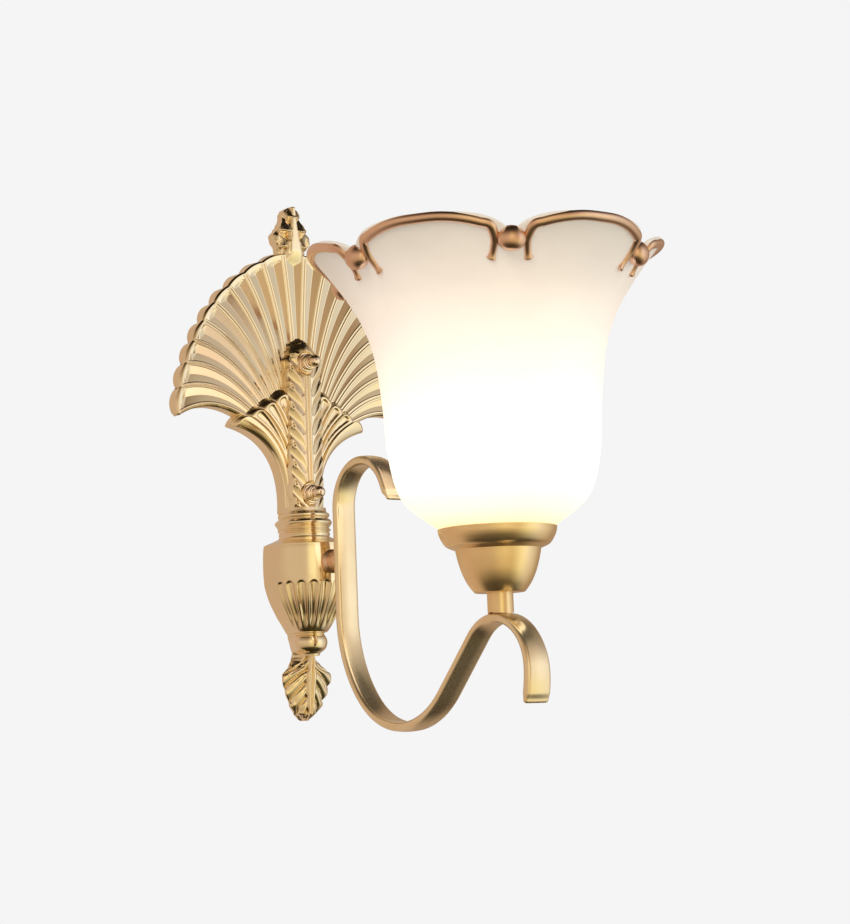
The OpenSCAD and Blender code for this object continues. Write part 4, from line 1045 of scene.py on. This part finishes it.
def lobe_at(degrees):
    """Share of the lobes' reach: 0 at the beads and 1 in the middle of a lobe."""
    w = abs(2 * frac(degrees * SHADE_LOBES / 360) - 1)
    return (1 - w ** 3) ** 0.6


def shade_profile(k, degrees):
    """Radius and height of the glass at k on SHADE_LINE, so many degrees from the first bead."""
    r, z = line_point(SHADE_LINE, k)
    s = max(0.0, (k / SHADE_LAST - 0.72) / 0.28)
    out = lobe_at(degrees) * s * s
    return r + out * LOBE_OUT, z + out * LOBE_UP


def shade_place(r, z, degrees):
    x, y = polar(r, degrees + LOBE_ANGLE / 2 + SHADE_TURN)
    return Vector((x, -LAMP_DEPTH - y, z + SHADE_SEAT_Z))


def profile_normal(k, degrees):
    """Outward normal of the glass in its own profile, as [outwards, up]."""
    step = 0.05
    a, b = shade_profile(max(k - step, 0), degrees), shade_profile(k + step, degrees)
    size = math.dist(a, b)
    return (b[1] - a[1]) / size, -(b[0] - a[0]) / size


def on_glass(k, degrees, lift=0.0):
    """Point on the glass, or so far outside of it."""
    r, z = shade_profile(k, degrees)
    n = profile_normal(k, degrees)
    return shade_place(r + lift * n[0], z + lift * n[1], degrees)


def shade_row(k, sides, inwards):
    return [on_glass(k, 360 * j / sides, -inwards) for j in range(sides)]


def make_shade():
    sides = SHADE_LOBES * 36
    ks = [k / 8 for k in range(SHADE_LAST * 8 + 1)]
    rows = [shade_row(k, sides, 0) for k in ks]
    for turn in range(1, 6):
        a = math.radians(180 * turn / 6)
        rows.append(shade_row(SHADE_LAST + 0.04 * math.sin(a), sides, RIM_T * (1 - math.cos(a)) / 2))
    for k in reversed(ks):
        if k >= 2.4:
            rows.append(shade_row(k, sides, mix(GLASS_T, RIM_T, ease((k - SHADE_LAST + 1.6) / 1.6))))
    for r, z in ((SKIRT_R + 8, GLASS_T + 1.6), (SKIRT_R + 5.2, GLASS_T), (SKIRT_R + 1, GLASS_T)):
        rows.append([shade_place(r, z, 360 * j / sides) for j in range(sides)])
    points = [p for row in rows for p in row]
    faces = grid_faces(len(rows), sides, wrap_rows=True, wrap_cols=True)
    piece = add_piece("glass_shade", points, faces, "frosted_glass", sharp=70)
    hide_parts("shade")


TRIM_W = 4.6
TRIM_H = 1.9
TRIM_INSET, TRIM_HOOK_INSET = 1.1, 2.9

# The hook beside a bead, as [place on SHADE_LINE, degrees from the bead]
TRIM_HOOK = [[8.02, 7.4], [8.1, 6.9], [8.3, 6.1], [8.55, 5.7]]
TRIM_FROM = 7.2


def trim_line(lobe):
    """Route of one trim strip from hook to hook, as [place on SHADE_LINE, degrees]."""
    half = list(TRIM_HOOK)
    for k in range(9):
        degrees = mix(TRIM_FROM, LOBE_ANGLE / 2, math.sin(math.pi / 2 * (k / 8) ** 1.15))
        inset = mix(TRIM_HOOK_INSET, TRIM_INSET, ease(k / 5))
        a, b = shade_profile(SHADE_LAST - 0.1, degrees), shade_profile(SHADE_LAST, degrees)
        half.append([SHADE_LAST - inset * 0.1 / math.dist(a, b), degrees])
    line = half[:-1] + [[k, LOBE_ANGLE - d] for k, d in reversed(half)]
    return [[k, d + LOBE_ANGLE * lobe] for k, d in line]


def trim_section(scale):
    """Half-round strip, as [across, out of the glass]."""
    half_w = TRIM_W / 2 * scale
    across = [math.cos(math.radians(a)) for a in range(0, 181, 15)]
    top = [[half_w * x, TRIM_H * scale * math.sqrt(max(0.0, 1 - x * x))] for x in across]
    return top + [[-half_w, -0.5], [half_w, -0.5]]


def make_trims():
    """Each strip is widest along its middle, thins towards its ends, and has a round knob at each."""
    for lobe in range(SHADE_LOBES):
        route = smooth_line(trim_line(lobe), 7)
        places = [on_glass(k, d) for k, d in route]
        last = len(places) - 1
        stations = []
        for i, (k, d) in enumerate(route):
            along = (places[min(i + 1, last)] - places[max(i - 1, 0)]).normalized()
            out = (on_glass(k, d, 1.0) - places[i]).normalized()
            across = along.cross(out).normalized()
            from_end = min(i, last - i)
            close = clamp(from_end / 5)
            body = 0.62 + 0.38 * ease((from_end - 8) / 22)
            knob = 0.3 * hill(from_end, 5, 4)
            scale = (body + knob) * math.sqrt(1 - (1 - close) ** 2) + 0.02
            stations.append([places[i] + across * x + out * y for x, y in trim_section(scale)])
        sweep(f"trim_{lobe}", stations, "copper_gold")


BEAD_W, BEAD_D, BEAD_H = 13, 10, 11.4
BEAD_OUT, BEAD_SINK = 0.8, 0.5


def make_beads():
    half_w, half_d, half_h = BEAD_W / 2, BEAD_D / 2, BEAD_H / 2
    for j in range(SHADE_LOBES):
        degrees = LOBE_ANGLE * j
        centre = shade_place(BEAD_RING_R + BEAD_OUT, SHADE_H - BEAD_SINK, degrees)
        turn = Matrix.Rotation(math.radians(degrees + LOBE_ANGLE / 2 + SHADE_TURN), 3, "Z")
        points = []
        for a in range(0, 181, 9):
            for b in range(0, 360, 10):
                ring, up = polar(1, a)
                x, y = polar(ring, b)
                points.append(centre + turn @ Vector((half_w * x, half_d * y, half_h * up)))
        add_piece(f"bead_{j}", points, grid_faces(21, 36, wrap_cols=True), "copper_gold")


# Stage: camera, light, world and floor

CAMERA_PLACE = (-0.64747, -1.03585, -0.15943)
CAMERA_TURN, CAMERA_PITCH, CAMERA_ROLL = -35.204, 6.6, -2.201
CAMERA_LENS = 92.33
BACKGROUND = 0.913


def make_camera():
    turn, pitch, roll = (math.radians(v) for v in (CAMERA_TURN, CAMERA_PITCH, CAMERA_ROLL))
    ahead = Vector((-math.sin(turn) * math.cos(pitch), math.cos(turn) * math.cos(pitch), math.sin(pitch)))
    level = Vector((math.cos(turn), math.sin(turn), 0))
    above = level.cross(ahead)
    right = math.cos(roll) * level + math.sin(roll) * above
    up = math.cos(roll) * above - math.sin(roll) * level
    data = bpy.data.cameras.new("camera")
    data.lens = CAMERA_LENS
    data.sensor_width = 36
    camera = bpy.data.objects.new("camera", data)
    turned = Matrix((right, up, -ahead)).transposed().to_4x4()
    camera.matrix_world = Matrix.Translation(CAMERA_PLACE) @ turned
    bpy.context.scene.collection.objects.link(camera)
    bpy.context.scene.camera = camera


# Studio round the lamp, level with it and below it: (degrees right of the photographer, colour)
STUDIO = [
    (-180, (0.5, 0.38, 0.28)), (-150, (0.62, 0.46, 0.34)), (-120, (0.6, 0.44, 0.32)),
    (-95, (0.62, 0.46, 0.33)), (-64, (0.68, 0.54, 0.39)), (-20, (0.67, 0.53, 0.38)),
    (-8, (0.72, 0.59, 0.41)), (2, (1.05, 0.92, 0.58)), (14, (1.18, 1.05, 0.64)), (26, (0.8, 0.62, 0.38)),
    (38, (0.6, 0.44, 0.28)), (50, (0.62, 0.48, 0.34)), (60, (1.0, 0.95, 0.82)), (68, (1.15, 1.12, 1.03)),
    (80, (1.1, 1.08, 1.02)), (96, (0.76, 0.75, 0.71)), (122, (0.64, 0.55, 0.43)), (142, (0.4, 0.29, 0.2))]
STUDIO_LOW = [
    (-180, (0.5, 0.38, 0.28)), (-150, (0.62, 0.46, 0.34)), (-95, (0.6, 0.44, 0.31)),
    (-20, (0.66, 0.52, 0.34)), (14, (0.9, 0.74, 0.42)), (40, (0.8, 0.64, 0.36)), (54, (0.95, 0.84, 0.48)),
    (66, (1.1, 1.03, 0.66)), (80, (1.1, 1.05, 0.78)), (96, (0.9, 0.86, 0.76)), (122, (0.64, 0.55, 0.43)),
    (142, (0.4, 0.29, 0.2))]

# Its brightness by height, from 0 straight down to 1 straight up: dark on the ground and overhead
STUDIO_HEIGHTS = [
    (0.0, (0.05, 0.05, 0.03)), (0.1, (0.08, 0.07, 0.05)), (0.24, (0.85, 0.84, 0.8)), (0.36, (1, 1, 1)),
    (0.61, (1, 1, 1)), (0.74, (0.64, 0.58, 0.55)), (0.84, (0.34, 0.3, 0.25)), (0.9, (0.03, 0.025, 0.02)),
    (1.0, (0.02, 0.02, 0.02))]

# Parts of a direction: how far down STUDIO_LOW takes over, and how far towards the wall the studio
# comes to have one brightness from top to bottom
LOW_FROM, LOW_TO = 0.0, -0.2
EVEN_FROM, EVEN_TO = 0.3, 0.65


def make_world():
    """Pale background, and a soft studio that only the lamp's surfaces see."""
    world = bpy.data.worlds.new("studio")
    bpy.context.scene.world = world
    world.use_nodes = True
    world.node_tree.nodes.clear()
    sky = NodeTree(world.node_tree)
    x, y, z = sky.axes(sky.node("ShaderNodeTexCoord").outputs["Generated"])

    # Share of a full turn, where 0.5 is the photographer's side
    turn = sky.calc("ARCTAN2", x, sky.calc("MULTIPLY", y, -1))
    turn = sky.calc("MULTIPLY_ADD", turn, 1 / (2 * math.pi), 0.5 - CAMERA_TURN / 360)
    turn = sky.calc("FRACT", turn)
    bands = [sky.ramp(turn, [((a + 180) / 360, colour) for a, colour in stops])
             for stops in (STUDIO, STUDIO_LOW)]
    around = sky.blend(sky.share(z, LOW_FROM, LOW_TO), *bands)
    level = sky.ramp(sky.share(z, -1, 1), STUDIO_HEIGHTS)
    evened = sky.blend(sky.share(y, EVEN_FROM, EVEN_TO), level, (1, 1, 1, 1))

    studio = sky.node("ShaderNodeBackground")
    sky.feed(studio.inputs["Color"], sky.blend(1, around, evened, how="MULTIPLY"))
    plain = sky.node("ShaderNodeBackground")
    sky.feed(plain.inputs["Color"], (BACKGROUND, BACKGROUND, BACKGROUND, 1))
    chosen = sky.node("ShaderNodeMixShader")
    sky.feed(chosen.inputs["Fac"], sky.node("ShaderNodeLightPath").outputs["Is Camera Ray"])
    sky.feed(chosen.inputs[1], studio.outputs["Background"])
    sky.feed(chosen.inputs[2], plain.outputs["Background"])
    sky.feed(sky.node("ShaderNodeOutputWorld").inputs["Surface"], chosen.outputs["Shader"])


def add_softbox(name, place, size, power, colour):
    data = bpy.data.lights.new(name, "AREA")
    data.shape = "RECTANGLE"
    data.size, data.size_y = size
    data.energy = power
    data.color = colour
    light = bpy.data.objects.new(name, data)
    aim = Vector((0, -0.1, -0.02)) - Vector(place)
    light.matrix_world = Matrix.Translation(place) @ aim.to_track_quat("-Z", "Y").to_matrix().to_4x4()
    light.visible_camera = False
    light.visible_glossy = False
    bpy.context.scene.collection.objects.link(light)


def make_floor():
    half, z = 2.0, -0.8
    corners = [(-half, -half, z), (half, -half, z), (half, half, z), (-half, half, z)]
    mesh = bpy.data.meshes.new("floor")
    mesh.from_pydata(corners, [], [(0, 1, 2, 3)])
    floor = bpy.data.objects.new("floor", mesh)
    bpy.context.scene.collection.objects.link(floor)
    moulded("floor_paper", (0.8, 0.8, 0.8), (0.77, 0.77, 0.77), rough=(0.7, 0.9))
    mesh.materials.append(LOOKS["floor_paper"])
    floor.visible_glossy = False


make_camera()
make_world()
add_softbox("key", (-1.4, -1.1, 0.9), (0.9, 0.9), 14, (1.0, 0.95, 0.86))
add_softbox("fill", (1.5, -0.9, 0.5), (0.8, 1.2), 8, (0.95, 0.97, 1.0))
make_floor()
bpy.context.scene.view_settings.view_transform = "Standard"

dress_nodes()
make_fan()
make_skirt()
make_central_leaf()
make_finial()
make_vase()
make_bottom_leaf()
make_cap_nuts()
make_collar()
make_arm()
make_cup()
make_shade()
make_trims()
make_beads()
